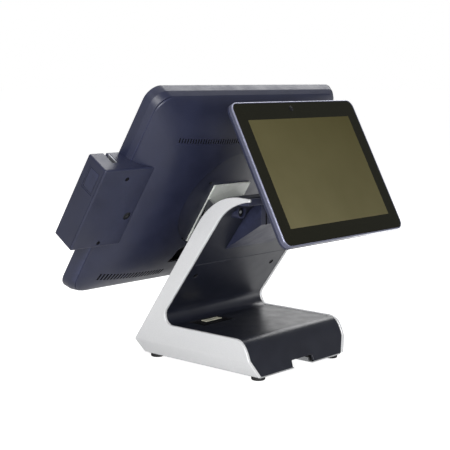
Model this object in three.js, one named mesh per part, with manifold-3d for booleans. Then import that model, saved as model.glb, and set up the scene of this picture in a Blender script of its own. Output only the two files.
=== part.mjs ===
// A checkout terminal: a V-shaped stand with painted side panels, a 15-inch touchscreen head on a
// friction hinge with a card reader on its side, and a 10-inch customer display behind it.
// Millimetres, +Z up. -Y is the operator's side, +Y the customer's side, +X the operator's right.
import * as THREE from "three";
import { ConvexGeometry } from "three/addons/geometries/ConvexGeometry.js";
import { mergeVertices } from "three/addons/utils/BufferGeometryUtils.js";
import Module from "manifold-3d";

// ---------- Driving dimensions ----------
const GAP = 0.3; // clearance between pieces that touch in the real object
const WALL = 3; // moulded wall of the stand's covers

// Stand
const STAND_HALF = 100; // outer face of a side panel
const PANEL_T = 4.25; // side panel thickness
const COVER_HALF = STAND_HALF - PANEL_T - GAP; // covers fit between the side panels
const CREASE_Z = 24.4; // below this height the base tapers inwards
const BASE_HALF = 88.5; // half-width of the base at its bottom edge
const BASE_Z = 4; // bottom edge of the base
const BASE_TOP = 51;
const FOOT = { r: 9, x: 76, yFront: 89.5, yRear: -90.5, low: -2.5 };
const BASE_PLATE = { low: 2.2, lip: 3.7, top: 8 }; // heights of the steel bottom plate and its thin lip
const OPERATOR_TOE = [-102.5, BASE_Z];
const OPERATOR_CREASE = [-111, 22];
const ARM_LEAN = THREE.MathUtils.degToRad(35.26); // the arm leans from vertical towards the customer
const COVER_INSET = 1.2; // customer-side covers sit this far below the panels' edge
const REAR_PROUD = 0.8; // the rear cover stands this far proud of the panels' edge
const SEAM_Z = 133; // joint between the base cover and the upper arm cover
const CABLE_NOTCH = { x: [-25, 20], top: 12.5 };
const SERVICE_WELL = { x: [8, 66], y: [-42, -12], depth: 2 };
const PORT_PLATE = { x: [11.5, 42.5], y: [-40.3, -30.5], top: 49 };

// Touchscreen head, in its own frame: x across, y from the glass backwards, z up the screen
const HEAD_TILT = THREE.MathUtils.degToRad(33.6); // from vertical
const HEAD_AT = [-80.35, 231.83]; // y, z of the glass centre
const HEAD = { hw: 183.7, hh: 160, r: 20 };
// The bezel's two bands: how far back each ends and how far it has turned in, at the sides and at the top.
const BEZEL = { rim: 11.7, rimSide: 2.6, rimTop: 1.4, back: 19, side: 6.5, top: 4.4 };
const COVER = { hw: 177, hh: 155.5, r: 24, y0: 19.6, lift: 31.5, wall: 2.6 };
const GLASS = { hw: 161, hh: 126, r: 4 };
const DISH = { r: 79, z: 6, floor: 47.4 };
const TILT_AXIS = { y: 74, z: -19 };
const IO_BAY = { half: 48, z: [-101, -68] };
const UPPER_VENT = { half: 131, z: [99.5, 106], slot: 1.8, count: 62 };
const LOWER_VENT = { x: [44, 150], z: [-130, -117], slot: 2.8, count: 21 };
const READER = { x: [150, 231.7], y: [0.6, 36.3], z: [-61.5, 61.7] };
const CARD_SLOT = { x: [204, 210], depth: 21.5 };
const BUTTON = { x: 150, z: -143, r: 5, travel: 1.2 };

// Customer display, in its own frame: x across, y from the back towards the customer, z up
const DISPLAY_TILT = THREE.MathUtils.degToRad(28.06);
const DISPLAY_AT = [127.26, 261.07];
const DISPLAY = { hw: 122.6, hh: 94.2, r: 11 };
const DISPLAY_GLASS = { hw: 120.8, hh: 92.4, r: 9.5 };
const DISPLAY_AXIS = { y: -52.7, z: -36.6 };
const PIVOT = { y: 98, z: 204 }; // the same axis in the stand's frame
const BRACKET_HALF = 48.4;
const BRACKET_FRONT = 70.8;
// A boss on the arm's inner cover for a bolt that runs through to a boss inside the rear cover.
const BOSS = { x: 71, z: 206, r: 8, bore: 6.2, y: [44, 57], seat: 51 };
const BOLT_END = 32.5;
const NOSE_Y = [71.6, 90.8]; // closing piece under the top of the arm

// ---------- Materials ----------
const paint = (color, roughness, metalness = 0) =>
  new THREE.MeshStandardMaterial({ color, roughness, metalness });
const SILVER = paint(0xd5d7db, 0.38, 0.3);
const CHARCOAL = paint(0x2b2d33, 0.5);
const NAVY = paint(0x32344a, 0.55);
const GLASS_BLACK = paint(0x14150f, 0.08);
const SCREEN = paint(0x5f5c3e, 0.3);
const STEEL = paint(0x9a9fa3, 0.4, 0.9);
const ZINC = paint(0xa5aaa5, 0.45, 0.6);
const RUBBER = paint(0x111113, 0.9);
const CREAM = paint(0xc8c8ba, 0.6);
const BOARD = paint(0x1f5a35, 0.6);
const BLACK = paint(0x101114, 0.4);
const RIM = paint(0x8d8ea8, 0.35, 0.3);

// ---------- Solids and booleans ----------
const wasm = await Module();
wasm.setup();

// The geometry as a manifold-3d solid with its shared vertices merged.
function toSolid(geometry) {
  const flat = geometry.index ? geometry.toNonIndexed() : geometry;
  const bare = new THREE.BufferGeometry();
  bare.setAttribute("position", flat.getAttribute("position"));
  const merged = mergeVertices(bare, 1e-4);
  const triVerts = new Uint32Array(merged.index.array);
  const vertProperties = merged.attributes.position.array;
  return new wasm.Manifold(new wasm.Mesh({ numProp: 3, vertProperties, triVerts }));
}

function toGeometry(solid) {
  const mesh = solid.getMesh();
  const geometry = new THREE.BufferGeometry();
  geometry.setAttribute("position", new THREE.BufferAttribute(mesh.vertProperties, 3));
  geometry.setIndex(new THREE.BufferAttribute(mesh.triVerts, 1));
  geometry.computeVertexNormals();
  return geometry;
}

const cut = (base, ...tools) =>
  toGeometry(tools.reduce((solid, tool) => solid.subtract(toSolid(tool)), toSolid(base)));
const join = (...pieces) =>
  toGeometry(pieces.map(toSolid).reduce((solid, piece) => solid.add(piece)));
const common = (a, b) => toGeometry(toSolid(a).intersect(toSolid(b)));

// A box given by its lowest and highest coordinates.
function slab([x0, x1], [y0, y1], [z0, z1]) {
  const box = new THREE.BoxGeometry(x1 - x0, y1 - y0, z1 - z0);
  return box.translate((x0 + x1) / 2, (y0 + y1) / 2, (z0 + z1) / 2);
}

const toPoints = (outline) => outline.map(([a, b]) => new THREE.Vector2(a, b));
const asShape = (outline) => (outline instanceof THREE.Shape ? outline : new THREE.Shape(toPoints(outline)));

// An outline in Y and Z, extruded along X.
function prismX(outline, [x0, x1], curveSegments = 6) {
  const options = { depth: x1 - x0, bevelEnabled: false, curveSegments };
  const place = new THREE.Matrix4().makeBasis(
    new THREE.Vector3(0, 1, 0),
    new THREE.Vector3(0, 0, 1),
    new THREE.Vector3(1, 0, 0),
  );
  const prism = new THREE.ExtrudeGeometry(asShape(outline), options).applyMatrix4(place);
  return prism.translate(x0, 0, 0);
}

// An outline in X and Z, extruded along Y.
function prismY(outline, [y0, y1], curveSegments = 6) {
  const options = { depth: y1 - y0, bevelEnabled: false, curveSegments };
  const prism = new THREE.ExtrudeGeometry(asShape(outline), options).rotateX(Math.PI / 2);
  return prism.translate(0, y1, 0);
}

const rodX = ([y, z], r, [x0, x1], sides = 16) =>
  new THREE.CylinderGeometry(r, r, x1 - x0, sides).rotateZ(Math.PI / 2).translate((x0 + x1) / 2, y, z);
const rodY = ([x, z], r, [y0, y1], sides = 16) =>
  new THREE.CylinderGeometry(r, r, y1 - y0, sides).translate(x, (y0 + y1) / 2, z);
const rodZ = ([x, y], r, [z0, z1], sides = 16) =>
  new THREE.CylinderGeometry(r, r, z1 - z0, sides).rotateX(Math.PI / 2).translate(x, y, (z0 + z1) / 2);

function roundedRect(hw, hh, r) {
  const shape = new THREE.Shape();
  shape.moveTo(hw, -hh + r);
  shape.absarc(hw - r, hh - r, r, 0, Math.PI / 2);
  shape.absarc(-hw + r, hh - r, r, Math.PI / 2, Math.PI);
  shape.absarc(-hw + r, -hh + r, r, Math.PI, 1.5 * Math.PI);
  shape.absarc(hw - r, -hh + r, r, 1.5 * Math.PI, 2 * Math.PI);
  return shape;
}

// Points round a rounded rectangle, the same number for every size, so that two rings can be joined.
function ring(hw, hh, r, perCorner, perWide, perTall) {
  const points = [];
  const corners = [
    [1, 1, 0, perWide],
    [-1, 1, 1, perTall],
    [-1, -1, 2, perWide],
    [1, -1, 3, perTall],
  ];
  for (const [sx, sz, quarter, along] of corners) {
    for (let i = 0; i <= perCorner; i++) {
      const a = ((quarter + i / perCorner) * Math.PI) / 2;
      points.push([sx * (hw - r) + r * Math.cos(a), sz * (hh - r) + r * Math.sin(a)]);
    }
    const [x0, z0] = points[points.length - 1];
    const horizontal = quarter % 2 === 0;
    for (let i = 1; i < along; i++) {
      const t = i / along;
      points.push(horizontal ? [x0 * (1 - 2 * t), z0] : [x0, z0 * (1 - 2 * t)]);
    }
  }
  return points;
}

// A closed solid through rings of equal length, from the first to the last, with a flat fan at each end.
function loft(rings) {
  const count = rings[0].length;
  const vertices = rings.flat();
  const centres = [rings[0], rings[rings.length - 1]].map((r) =>
    [0, 1, 2].map((axis) => r.reduce((sum, p) => sum + p[axis], 0) / count),
  );
  vertices.push(...centres);
  const index = [];
  for (let k = 0; k + 1 < rings.length; k++) {
    for (let i = 0; i < count; i++) {
      const j = (i + 1) % count;
      const a = k * count;
      const b = a + count;
      index.push(a + i, a + j, b + j, a + i, b + j, b + i);
    }
  }
  const last = (rings.length - 1) * count;
  for (let i = 0; i < count; i++) {
    const j = (i + 1) % count;
    index.push(j, i, rings.length * count);
    index.push(last + i, last + j, rings.length * count + 1);
  }
  return outward(vertices, index);
}

// The geometry with its triangles turned to face out.
function outward(vertices, index) {
  const v = vertices.map((p) => new THREE.Vector3(...p));
  let volume = 0;
  for (let i = 0; i < index.length; i += 3) {
    const [a, b, c] = [v[index[i]], v[index[i + 1]], v[index[i + 2]]];
    volume += a.dot(b.clone().cross(c));
  }
  if (volume < 0) index.reverse();
  const geometry = new THREE.BufferGeometry();
  geometry.setAttribute("position", new THREE.Float32BufferAttribute(vertices.flat(), 3));
  geometry.setIndex(index);
  return geometry;
}

const boxRing = (hw, hh, r, y) => ring(hw, hh, r, 4, 1, 1).map(([x, z]) => [x, y, z]);

// A polyline moved sideways by a distance, to the left of its direction when positive.
function offsetLine(points, distance) {
  return points.map((p, i) => {
    const before = points[Math.max(i - 1, 0)];
    const after = points[Math.min(i + 1, points.length - 1)];
    const d0 = p.clone().sub(i ? before : p);
    const d1 = after.clone().sub(i < points.length - 1 ? p : after);
    const n0 = new THREE.Vector2(-d0.y, d0.x).normalize();
    const n1 = new THREE.Vector2(-d1.y, d1.x).normalize();
    const mean = n0.add(n1).normalize();
    const reference = n1.lengthSq() ? n1 : new THREE.Vector2(-d0.y, d0.x).normalize();
    return p.clone().addScaledVector(mean, distance / Math.max(mean.dot(reference), 0.4));
  });
}

// A sheet of constant thickness along a line in Y and Z: from one offset of the line to another.
function band(line, from, to, span) {
  const outline = [...offsetLine(line, from), ...offsetLine(line, to).reverse()];
  return prismX(new THREE.Shape(outline), span);
}

const parts = [];
function piece(parent, name, geometry, material) {
  const mesh = new THREE.Mesh(geometry, material);
  mesh.name = name;
  parent.add(mesh);
  parts.push(mesh);
}

const SIDES = [
  ["left", -1],
  ["right", 1],
];
const spanOn = (side, near, far) => (side > 0 ? [near, far] : [-far, -near]);

// ---------- Frames ----------
const terminal = new THREE.Group();
const stand = new THREE.Group();
const arm = new THREE.Group(); // local z runs up the arm, local y from the operator's face inwards
arm.position.set(0, ...OPERATOR_CREASE);
arm.rotation.x = -ARM_LEAN;
const head = new THREE.Group();
head.position.set(0, ...HEAD_AT);
head.rotation.x = -HEAD_TILT;
const display = new THREE.Group();
display.position.set(0, ...DISPLAY_AT);
display.rotation.x = DISPLAY_TILT;
terminal.add(stand, arm, head, display);

// ---------- Stand outline, in Y and Z ----------

// The operator's side: up from the toe, along the arm and over its top to the tip of the panels.
function operatorLine() {
  const path = new THREE.Path();
  path.moveTo(...OPERATOR_TOE);
  path.lineTo(...OPERATOR_CREASE);
  path.lineTo(10, 193);
  path.bezierCurveTo(24, 211, 45, 228, 75, 228);
  path.lineTo(94, 227);
  return path.getPoints(7);
}

// The customer's side: back from the tip, down the arm, round the corner and out over the base.
function customerLine() {
  const path = new THREE.Path();
  path.moveTo(95, 223.4);
  path.bezierCurveTo(78, 221.5, 56, 214, 43, 196.5);
  path.lineTo(-49.8, 71.3);
  path.absarc(-39.6, 63.7, 12.7, THREE.MathUtils.degToRad(143.3), 1.5 * Math.PI);
  path.lineTo(72, BASE_TOP);
  path.bezierCurveTo(84, 50.5, 90, 39, 94.5, 25);
  path.lineTo(102, BASE_Z);
  return path.getPoints(6);
}

const operator = operatorLine();
const customer = customerLine();
const alongArm = (z) => new THREE.Vector2(-49.8 + ((z - 71.3) * 92.8) / 125.2, z);
const straightArm = customer.findIndex((p) => p.y < 100);

// ---------- Stand pieces ----------

// The cross-section in X and Z that keeps a side panel: a plate that turns in below the crease.
function panelSection(side) {
  const inner = STAND_HALF - PANEL_T;
  const outline = [
    [STAND_HALF, 250],
    [STAND_HALF, CREASE_Z],
    [BASE_HALF, BASE_Z],
    [BASE_HALF - PANEL_T - 0.6, BASE_Z],
    [inner, CREASE_Z + 1.2],
    [inner, 250],
  ];
  return prismY(outline.map(([x, z]) => [side * x, z]), [-130, 130]);
}

// The room between the two side panels.
function betweenPanels() {
  const low = BASE_HALF - PANEL_T - 0.6 - GAP;
  const outline = [
    [-COVER_HALF, 250],
    [-COVER_HALF, CREASE_Z + 1.4],
    [-low, BASE_Z],
    [low, BASE_Z],
    [COVER_HALF, CREASE_Z + 1.4],
    [COVER_HALF, 250],
  ];
  return prismY(outline, [-130, 130]);
}

for (const [name, side] of SIDES) {
  const outline = new THREE.Shape([...operator, ...customer]);
  const blank = prismX(outline, spanOn(side, 70, 100));
  piece(stand, `side_panel_${name}`, common(blank, panelSection(side)), SILVER);
}

const FEET = SIDES.flatMap(([name, side]) => [
  { name: `foot_front_${name}`, x: side * FOOT.x, y: FOOT.yFront },
  { name: `foot_rear_${name}`, x: side * FOOT.x, y: FOOT.yRear },
]);

// The steel bottom plate: thick between the covers, with a thin lip under their edges, cut out for
// the cables and drilled for the stems of the feet.
function basePlate() {
  const { low, lip, top } = BASE_PLATE;
  const body = slab([-79, 79], [-96, 93], [low, top]);
  const edge = slab([-84, 84], [-99.5, 100], [low, lip]);
  const cableWay = slab([CABLE_NOTCH.x[0] + 3, CABLE_NOTCH.x[1] - 3], [68, 110], [0, 20]);
  const holes = FEET.map(({ x, y }) => rodZ([x, y], 4.3, [0, 20], 12));
  return cut(join(body, edge), cableWay, ...holes);
}
piece(stand, "base_plate", basePlate(), STEEL);

for (const { name, x, y } of FEET) {
  const pad = rodZ([x, y], FOOT.r, [FOOT.low, BASE_PLATE.low - GAP], 24);
  const stem = rodZ([x, y], 4, [FOOT.low + 1, BASE_PLATE.top - 1], 12);
  piece(stand, name, join(pad, stem), RUBBER);
}

// The moulding over the base and the lower arm, with the cable notch and the service well.
function baseCover() {
  const line = [alongArm(SEAM_Z), ...customer.slice(straightArm)];
  const sheet = common(band(line, -COVER_INSET, -COVER_INSET - WALL, [-100, 100]), betweenPanels());
  const notch = prismY(
    [
      [CABLE_NOTCH.x[0], 0],
      [CABLE_NOTCH.x[1], 0],
      [CABLE_NOTCH.x[1] - 1.5, CABLE_NOTCH.top],
      [CABLE_NOTCH.x[0] + 1.5, CABLE_NOTCH.top],
    ],
    [80, 120],
  );
  const surface = BASE_TOP - COVER_INSET;
  const well = slab(SERVICE_WELL.x, SERVICE_WELL.y, [surface - SERVICE_WELL.depth, surface + 5]);
  return cut(sheet, notch, well, ...coverScrewHoles());
}

// Countersunk holes for the two screws that hold the base cover to the arm's frame.
const SCREW_UP = 131.6; // distance up the arm from the crease
const SCREW_X = 77;
const ARM_FACE = 21.5; // the customer-side cover's surface, in the arm's frame
function coverScrewHoles() {
  arm.updateMatrix();
  return SIDES.map(([, side]) => {
    const hole = rodY([side * SCREW_X, SCREW_UP], 3.4, [ARM_FACE - 8, ARM_FACE + 8], 12);
    return hole.applyMatrix4(arm.matrix);
  });
}
piece(stand, "base_cover", baseCover(), CHARCOAL);

for (const [name, side] of SIDES) {
  const cap = rodY([side * SCREW_X, SCREW_UP], 3, [ARM_FACE - 2.6, ARM_FACE - 0.6], 12);
  const shank = rodY([side * SCREW_X, SCREW_UP], 1.6, [ARM_FACE - 6, ARM_FACE - 2.6], 8);
  piece(arm, `cover_screw_${name}`, join(cap, shank), STEEL);
}

function portPlate() {
  const { x, y, top } = PORT_PLATE;
  return slab(x, y, [BASE_TOP - COVER_INSET - SERVICE_WELL.depth + GAP, top]);
}
piece(stand, "port_plate", portPlate(), CREAM);

// The inner arm cover: from the seam up the arm and along the underside of its top.
const underside = customer.slice(customer.findIndex((p) => p.x < BRACKET_FRONT + 4), straightArm);
const innerLine = [...underside, alongArm(SEAM_Z + 0.5)];
function armInnerCover() {
  const sheet = band(innerLine, -COVER_INSET, -COVER_INSET - WALL, [-COVER_HALF, COVER_HALF]);
  const bosses = SIDES.map(([, s]) => rodY([s * BOSS.x, BOSS.z], BOSS.r, BOSS.y, 24));
  const bores = SIDES.flatMap(([, s]) => [
    rodY([s * BOSS.x, BOSS.z], BOSS.bore, [BOSS.seat, BOSS.y[1] + 12], 24),
    rodY([s * BOSS.x, BOSS.z], 3.1, [30, 60], 12),
  ]);
  const tip = slab([-100, 100], [NOSE_Y[0] - 0.4, 100], [190, 240]);
  const window = slab([-41, 41], [34, 62], [196.5, 211.5]);
  return cut(join(sheet, ...bosses), tip, window, ...bores);
}
piece(stand, "arm_inner_cover", armInnerCover(), CHARCOAL);

// The closing piece across the front of the arm's top.
function armNose() {
  const outline = [
    [NOSE_Y[0], 217.2],
    [NOSE_Y[1] - 0.8, 218],
    [NOSE_Y[1], 226.6],
    [NOSE_Y[1] - 2.4, 226.9],
    [NOSE_Y[1] - 2.4, 224.6],
    [NOSE_Y[0], 225.2],
  ];
  return prismX(outline, [-COVER_HALF, COVER_HALF]);
}
piece(stand, "arm_nose", armNose(), NAVY);

// The rear cover: the whole operator side, from the toe over the top of the arm.
function rearStandCover() {
  const line = [...operator.slice(0, -1), new THREE.Vector2(88, 227.3)];
  const sheet = common(band(line, REAR_PROUD, REAR_PROUD - WALL, [-100, 100]), betweenPanels());
  const window = slab([-33, 33], [-6, 6], [146, 194]).applyMatrix4(arm.matrix);
  const bosses = SIDES.map(([, s]) => rodY([s * BOSS.x, BOSS.z], 6, [BOLT_END - 1, 36], 16));
  const bores = SIDES.map(([, s]) => rodY([s * BOSS.x, BOSS.z], 3, [BOLT_END - 0.5, 40], 12));
  return cut(join(sheet, ...bosses), window, ...bores);
}
piece(stand, "stand_rear_cover", rearStandCover(), CHARCOAL);

// The steel spine: a foot on the base plate, a leg up the arm and a flange at the top.
const FLANGE_Z = 201.2;
function standFrame() {
  const line = [
    [60, BASE_PLATE.top + GAP + 1.5],
    [-84, BASE_PLATE.top + GAP + 1.5],
    [-92.5, 24],
    [32.6, FLANGE_Z],
    [46, FLANGE_Z],
  ].map(([y, z]) => new THREE.Vector2(y, z));
  return band(line, 1.5, -1.5, [-29, 29]);
}
piece(stand, "stand_frame", standFrame(), STEEL);

// ---------- Tilt hinge between the arm and the head ----------
arm.updateMatrix();
head.updateMatrix();
const hingeInArm = new THREE.Vector3(0, TILT_AXIS.y, TILT_AXIS.z)
  .applyMatrix4(head.matrix)
  .applyMatrix4(arm.matrix.clone().invert());
const PIN_R = 5;
const EAR_R = 9;

// An ear that holds a shaft: a round end at the axis, tapering from a foot.
function ear(axis, foot, span) {
  const points = foot.map(([y, z]) => [y, z]);
  for (let i = 0; i < 16; i++) {
    const a = (i * Math.PI) / 8;
    points.push([axis[0] + EAR_R * Math.cos(a), axis[1] + EAR_R * Math.sin(a)]);
  }
  const corners = points.flatMap(([y, z]) => span.map((x) => new THREE.Vector3(x, y, z)));
  return cut(new ConvexGeometry(corners), rodX(axis, PIN_R + GAP, [span[0] - 1, span[1] + 1], 16));
}

// The U-shaped bracket on the arm: a web on the spine and two ears out through the rear cover.
function armHingeBracket() {
  const { y, z } = hingeInArm;
  const web = slab([-30, 30], [8.9, 11.9], [z - 30, z + 22]);
  const foot = [
    [9.5, z - 18],
    [9.5, z + 18],
  ];
  return join(web, ...SIDES.map(([, s]) => ear([y, z], foot, spanOn(s, 25, 29))));
}
piece(arm, "arm_hinge_bracket", armHingeBracket(), STEEL);

const AXIS = [TILT_AXIS.y, TILT_AXIS.z];

// The channel on the back of the head: a plate and two side flanges that reach out to the shaft, each
// with a notch at its root.
const CHANNEL = { half: 36, thick: 4, z: [-62, 33], flange: 11 };
function headHingeBracket() {
  const { half, thick, z, flange } = CHANNEL;
  const low = DISH.floor + GAP;
  const plate = slab([-half, half], [low, low + 2.5], z);
  const foot = [
    [low + 1, TILT_AXIS.z - 20],
    [low + 1, flange + 1],
    [low + 15, flange],
  ];
  const notches = SIDES.map(([, s]) => slab(spanOn(s, half - 5, half + 1), [low + 4, low + 8], [-16, -5]));
  const flanges = SIDES.map(([, s]) => ear(AXIS, foot, spanOn(s, half - thick, half)));
  return cut(join(plate, ...flanges), ...notches);
}
piece(head, "head_hinge_bracket", headHingeBracket(), ZINC);
piece(head, "tilt_shaft", rodX(AXIS, PIN_R, [-44, 44], 16), STEEL);

const shaftBore = (axis) => rodX(axis, PIN_R + GAP, [-50, 50]);
for (const [name, side] of SIDES) {
  const bore = shaftBore(AXIS);
  const washer = cut(rodX(AXIS, 8.5, spanOn(side, 29 + GAP, 32 - GAP), 16), bore);
  piece(head, `tilt_friction_washer_${name}`, washer, BLACK);
  const nut = cut(rodX(AXIS, 8, spanOn(side, CHANNEL.half + GAP, CHANNEL.half + 5.5), 6), bore);
  piece(head, `tilt_nut_${name}`, nut, STEEL);
}

// ---------- Touchscreen head ----------

// Height of the rear cover over its rim at a place on it: a crowned pillow, steep near its edges,
// falling to the rim round the corners too.
function pillow(x, z) {
  const { hw, hh, r, lift } = COVER;
  const profile = (t, power, steep) => Math.max(1 - Math.min(t, 1) ** power, 0) ** steep;
  const height = profile(Math.abs(x) / hw, 3, 0.677) * profile(Math.abs(z) / hh, 4, 0.888);
  const corner = [Math.abs(x) - (hw - r), Math.abs(z) - (hh - r)];
  if (Math.min(...corner) <= 0) return lift * height;
  const inset = Math.max(r - Math.hypot(...corner), 0);
  return lift * Math.min(height, profile((hw - inset) / hw, 3, 0.677));
}

const INSETS = [0, 1, 3, 7, 13, 21, 33, 50, 75, 110, 140];

// The rear cover's outer form, grown by a margin, as rings from the rim to the crown.
function coverForm(margin, floor, ceiling = Infinity) {
  const rings = INSETS.map((inset) => {
    const hw = COVER.hw + margin - inset;
    const hh = COVER.hh + margin - inset;
    const r = Math.min(COVER.r + inset * 0.1, hh - 0.5);
    const scale = [COVER.hw / (COVER.hw + margin), COVER.hh / (COVER.hh + margin)];
    return ring(hw, hh, r, 3, 8, 6).map(([x, z]) => {
      const y = COVER.y0 + margin + pillow(x * scale[0], z * scale[1]);
      return [x, Math.min(y, ceiling), z];
    });
  });
  return loft([rings[0].map(([x, , z]) => [x, floor, z]), ...rings]);
}

function ventSlots() {
  const slots = [];
  const pitch = (2 * UPPER_VENT.half) / (UPPER_VENT.count - 1);
  for (let i = 0; i < UPPER_VENT.count; i++) {
    const x = -UPPER_VENT.half + i * pitch;
    slots.push(slab([x - UPPER_VENT.slot / 2, x + UPPER_VENT.slot / 2], [20, 60], UPPER_VENT.z));
  }
  const step = (LOWER_VENT.x[1] - LOWER_VENT.x[0]) / (LOWER_VENT.count - 1);
  for (const [, side] of SIDES) {
    for (let i = 0; i < LOWER_VENT.count; i++) {
      const x = LOWER_VENT.x[0] + i * step;
      const span = spanOn(side, x - LOWER_VENT.slot / 2, x + LOWER_VENT.slot / 2);
      slots.push(slab(span, [14, 60], LOWER_VENT.z));
    }
  }
  return slots;
}

function rearCover() {
  const inner = COVER.wall;
  const hollow = coverForm(-inner, COVER.y0 - 5, DISH.floor - inner);
  const dish = rodY([0, DISH.z], DISH.r, [DISH.floor, 80], 40);
  const bay = prismY(
    [
      [-IO_BAY.half, IO_BAY.z[0]],
      [IO_BAY.half, IO_BAY.z[0]],
      [IO_BAY.half - 4, IO_BAY.z[1] - 10],
      [IO_BAY.half - 16, IO_BAY.z[1]],
      [-IO_BAY.half + 16, IO_BAY.z[1]],
      [-IO_BAY.half + 4, IO_BAY.z[1] - 10],
    ],
    [30, 70],
  );
  return cut(coverForm(0, COVER.y0), hollow, dish, bay, ...ventSlots());
}
piece(head, "rear_cover", rearCover(), NAVY);

// The front housing: a rim round the glass that turns in towards the rear cover in two bands.
function bezelForm(margin) {
  const { hw, hh, r } = HEAD;
  const { rim, rimSide, rimTop, back, side, top } = BEZEL;
  return loft([
    boxRing(hw - 1.2 + margin, hh - 1.2 + margin, r, -margin),
    boxRing(hw + margin, hh + margin, r, 1.2),
    boxRing(hw - rimSide + margin, hh - rimTop + margin, r, rim),
    boxRing(hw - side + margin, hh - top + margin, r, back + margin),
  ]);
}

function frontBezel() {
  const { back, side, top } = BEZEL;
  const hollow = prismY(roundedRect(HEAD.hw - side - 2.8, HEAD.hh - top - 2.8, 18), [2.8, back + 5], 4);
  const opening = prismY(roundedRect(GLASS.hw + GAP, GLASS.hh + GAP, GLASS.r), [-5, 8], 3);
  const buttonHole = rodY([BUTTON.x, BUTTON.z], BUTTON.r + 0.4, [-5, 8], 20);
  return cut(bezelForm(0), hollow, opening, buttonHole);
}
piece(head, "front_bezel", frontBezel(), NAVY);
piece(head, "touch_glass", prismY(roundedRect(GLASS.hw, GLASS.hh, GLASS.r), [0.5, 3.3], 3), GLASS_BLACK);
piece(head, "lcd_panel", slab([-163, 163], [3.7, 13.4], [-124, 124]), SCREEN);

// The power button and the switch behind it.
function powerButton() {
  const cap = rodY([BUTTON.x, BUTTON.z], BUTTON.r, [-0.8, 5.2], 20);
  const flange = rodY([BUTTON.x, BUTTON.z], BUTTON.r + 1.6, [3.2, 4.4], 20);
  return join(cap, flange);
}
piece(head, "power_button", powerButton(), BLACK);
piece(head, "power_switch", slab([145, 155], [6.8, 10.2], [-148, -138]), BOARD);

// The steel chassis behind the screen, with posts up to the hinge plate's screws.
const POST = { x: 27, zTop: 25, zLow: -56 };
const POSTS = [POST.zTop, POST.zLow].flatMap((z) => [-POST.x, POST.x].map((x) => [x, z]));
function chassis() {
  const sheet = slab([-168, 168], [13.8, 15.3], [-134, 134]);
  const posts = POSTS.map((at) => rodY(at, 5, [15, DISH.floor - COVER.wall - GAP], 10));
  return join(sheet, ...posts);
}
piece(head, "panel_chassis", chassis(), STEEL);
const MAINBOARD_Y = [20, 21.6];
function mainboard() {
  const board = slab([-90, 90], MAINBOARD_Y, [-60, 90]);
  return cut(board, ...POSTS.map((at) => rodY(at, 6, [10, 40], 10)));
}
piece(head, "mainboard", mainboard(), BOARD);

// A finned heat sink over the processor.
function heatSink() {
  const base = slab([-30, 30], [MAINBOARD_Y[1] + GAP, 25], [38, 88]);
  const fins = [0, 1, 2, 3, 4, 5, 6].map((i) => slab([-30 + i * 9.5, -27 + i * 9.5], [24, 36], [38, 88]));
  return join(base, ...fins);
}
piece(head, "heat_sink", heatSink(), ZINC);
piece(head, "storage_drive", slab([-85, -50], [MAINBOARD_Y[1] + GAP, 29], [-50, 50]), BLACK);
piece(head, "speaker", slab([100, 140], [15.6, 23], [-105, -85]), BLACK);

// The connector panel seen in the bay at the foot of the rear cover.
function connectorPanel() {
  const sheet = slab([-54, 54], [26, 27.5], [-106, -62]);
  const ports = [-40, -24, -8, 8, 24, 40].map((x) => slab([x - 6, x + 6], [27, 34], [-92, -80]));
  return join(sheet, ...ports);
}
piece(head, "connector_panel", connectorPanel(), STEEL);

// ---------- Card reader on the side of the head ----------
const READER_BACK = 2.4; // thickness of the reader's back plate
const READER_SCREWS = [
  [190, 46.5],
  [189, -54.5],
];
const READER_PORT = [160.5, -14];
const READER_PANE = { y: [11.5, 28.5], z: [22, 50] };

// The reader's outline as a solid through (inset, y) steps.
function readerForm(steps) {
  const { x, z } = READER;
  const middle = [(x[0] + x[1]) / 2, (z[0] + z[1]) / 2];
  const half = [(x[1] - x[0]) / 2, (z[1] - z[0]) / 2];
  const rings = steps.map(([inset, y]) => boxRing(half[0] - inset, half[1] - inset, 2, y));
  return loft(rings).translate(middle[0], 0, middle[1]);
}

function readerHousing() {
  const { x, y, z } = READER;
  const back = y[1] - READER_BACK - GAP;
  const body = readerForm([
    [1, y[0]],
    [0, y[0] + 1],
    [0, back],
  ]);
  const slot = slab(CARD_SLOT.x, [y[0] - 1, CARD_SLOT.depth], [z[0] - 1, z[1] + 1]);
  const guide = slab([CARD_SLOT.x[0] - 3.5, CARD_SLOT.x[0] + 1], [4, CARD_SLOT.depth], [z[0] - 1, z[1] + 1]);
  const pocket = slab([184, 226], [24.5, back + 1], [-56, 56]);
  const headPocket = slab([CARD_SLOT.x[1] - 1, 221], [6, 16], [-8, 8]);
  const pane = READER_PANE;
  const recess = slab([x[1] - 0.5, x[1] + 1], [pane.y[0] - 2, pane.y[1] + 2], [pane.z[0] - 2, pane.z[1] + 2]);
  const window = slab([x[1] - 1.5, x[1] + 1], pane.y, pane.z);
  const port = rodY(READER_PORT, 5.7, [back - 0.4, back + 1], 20);
  return cut(body, bezelForm(0.4), coverForm(0.4, 0), slot, guide, pocket, headPocket, recess, window, port);
}
piece(head, "reader_housing", readerHousing(), NAVY);

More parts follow.
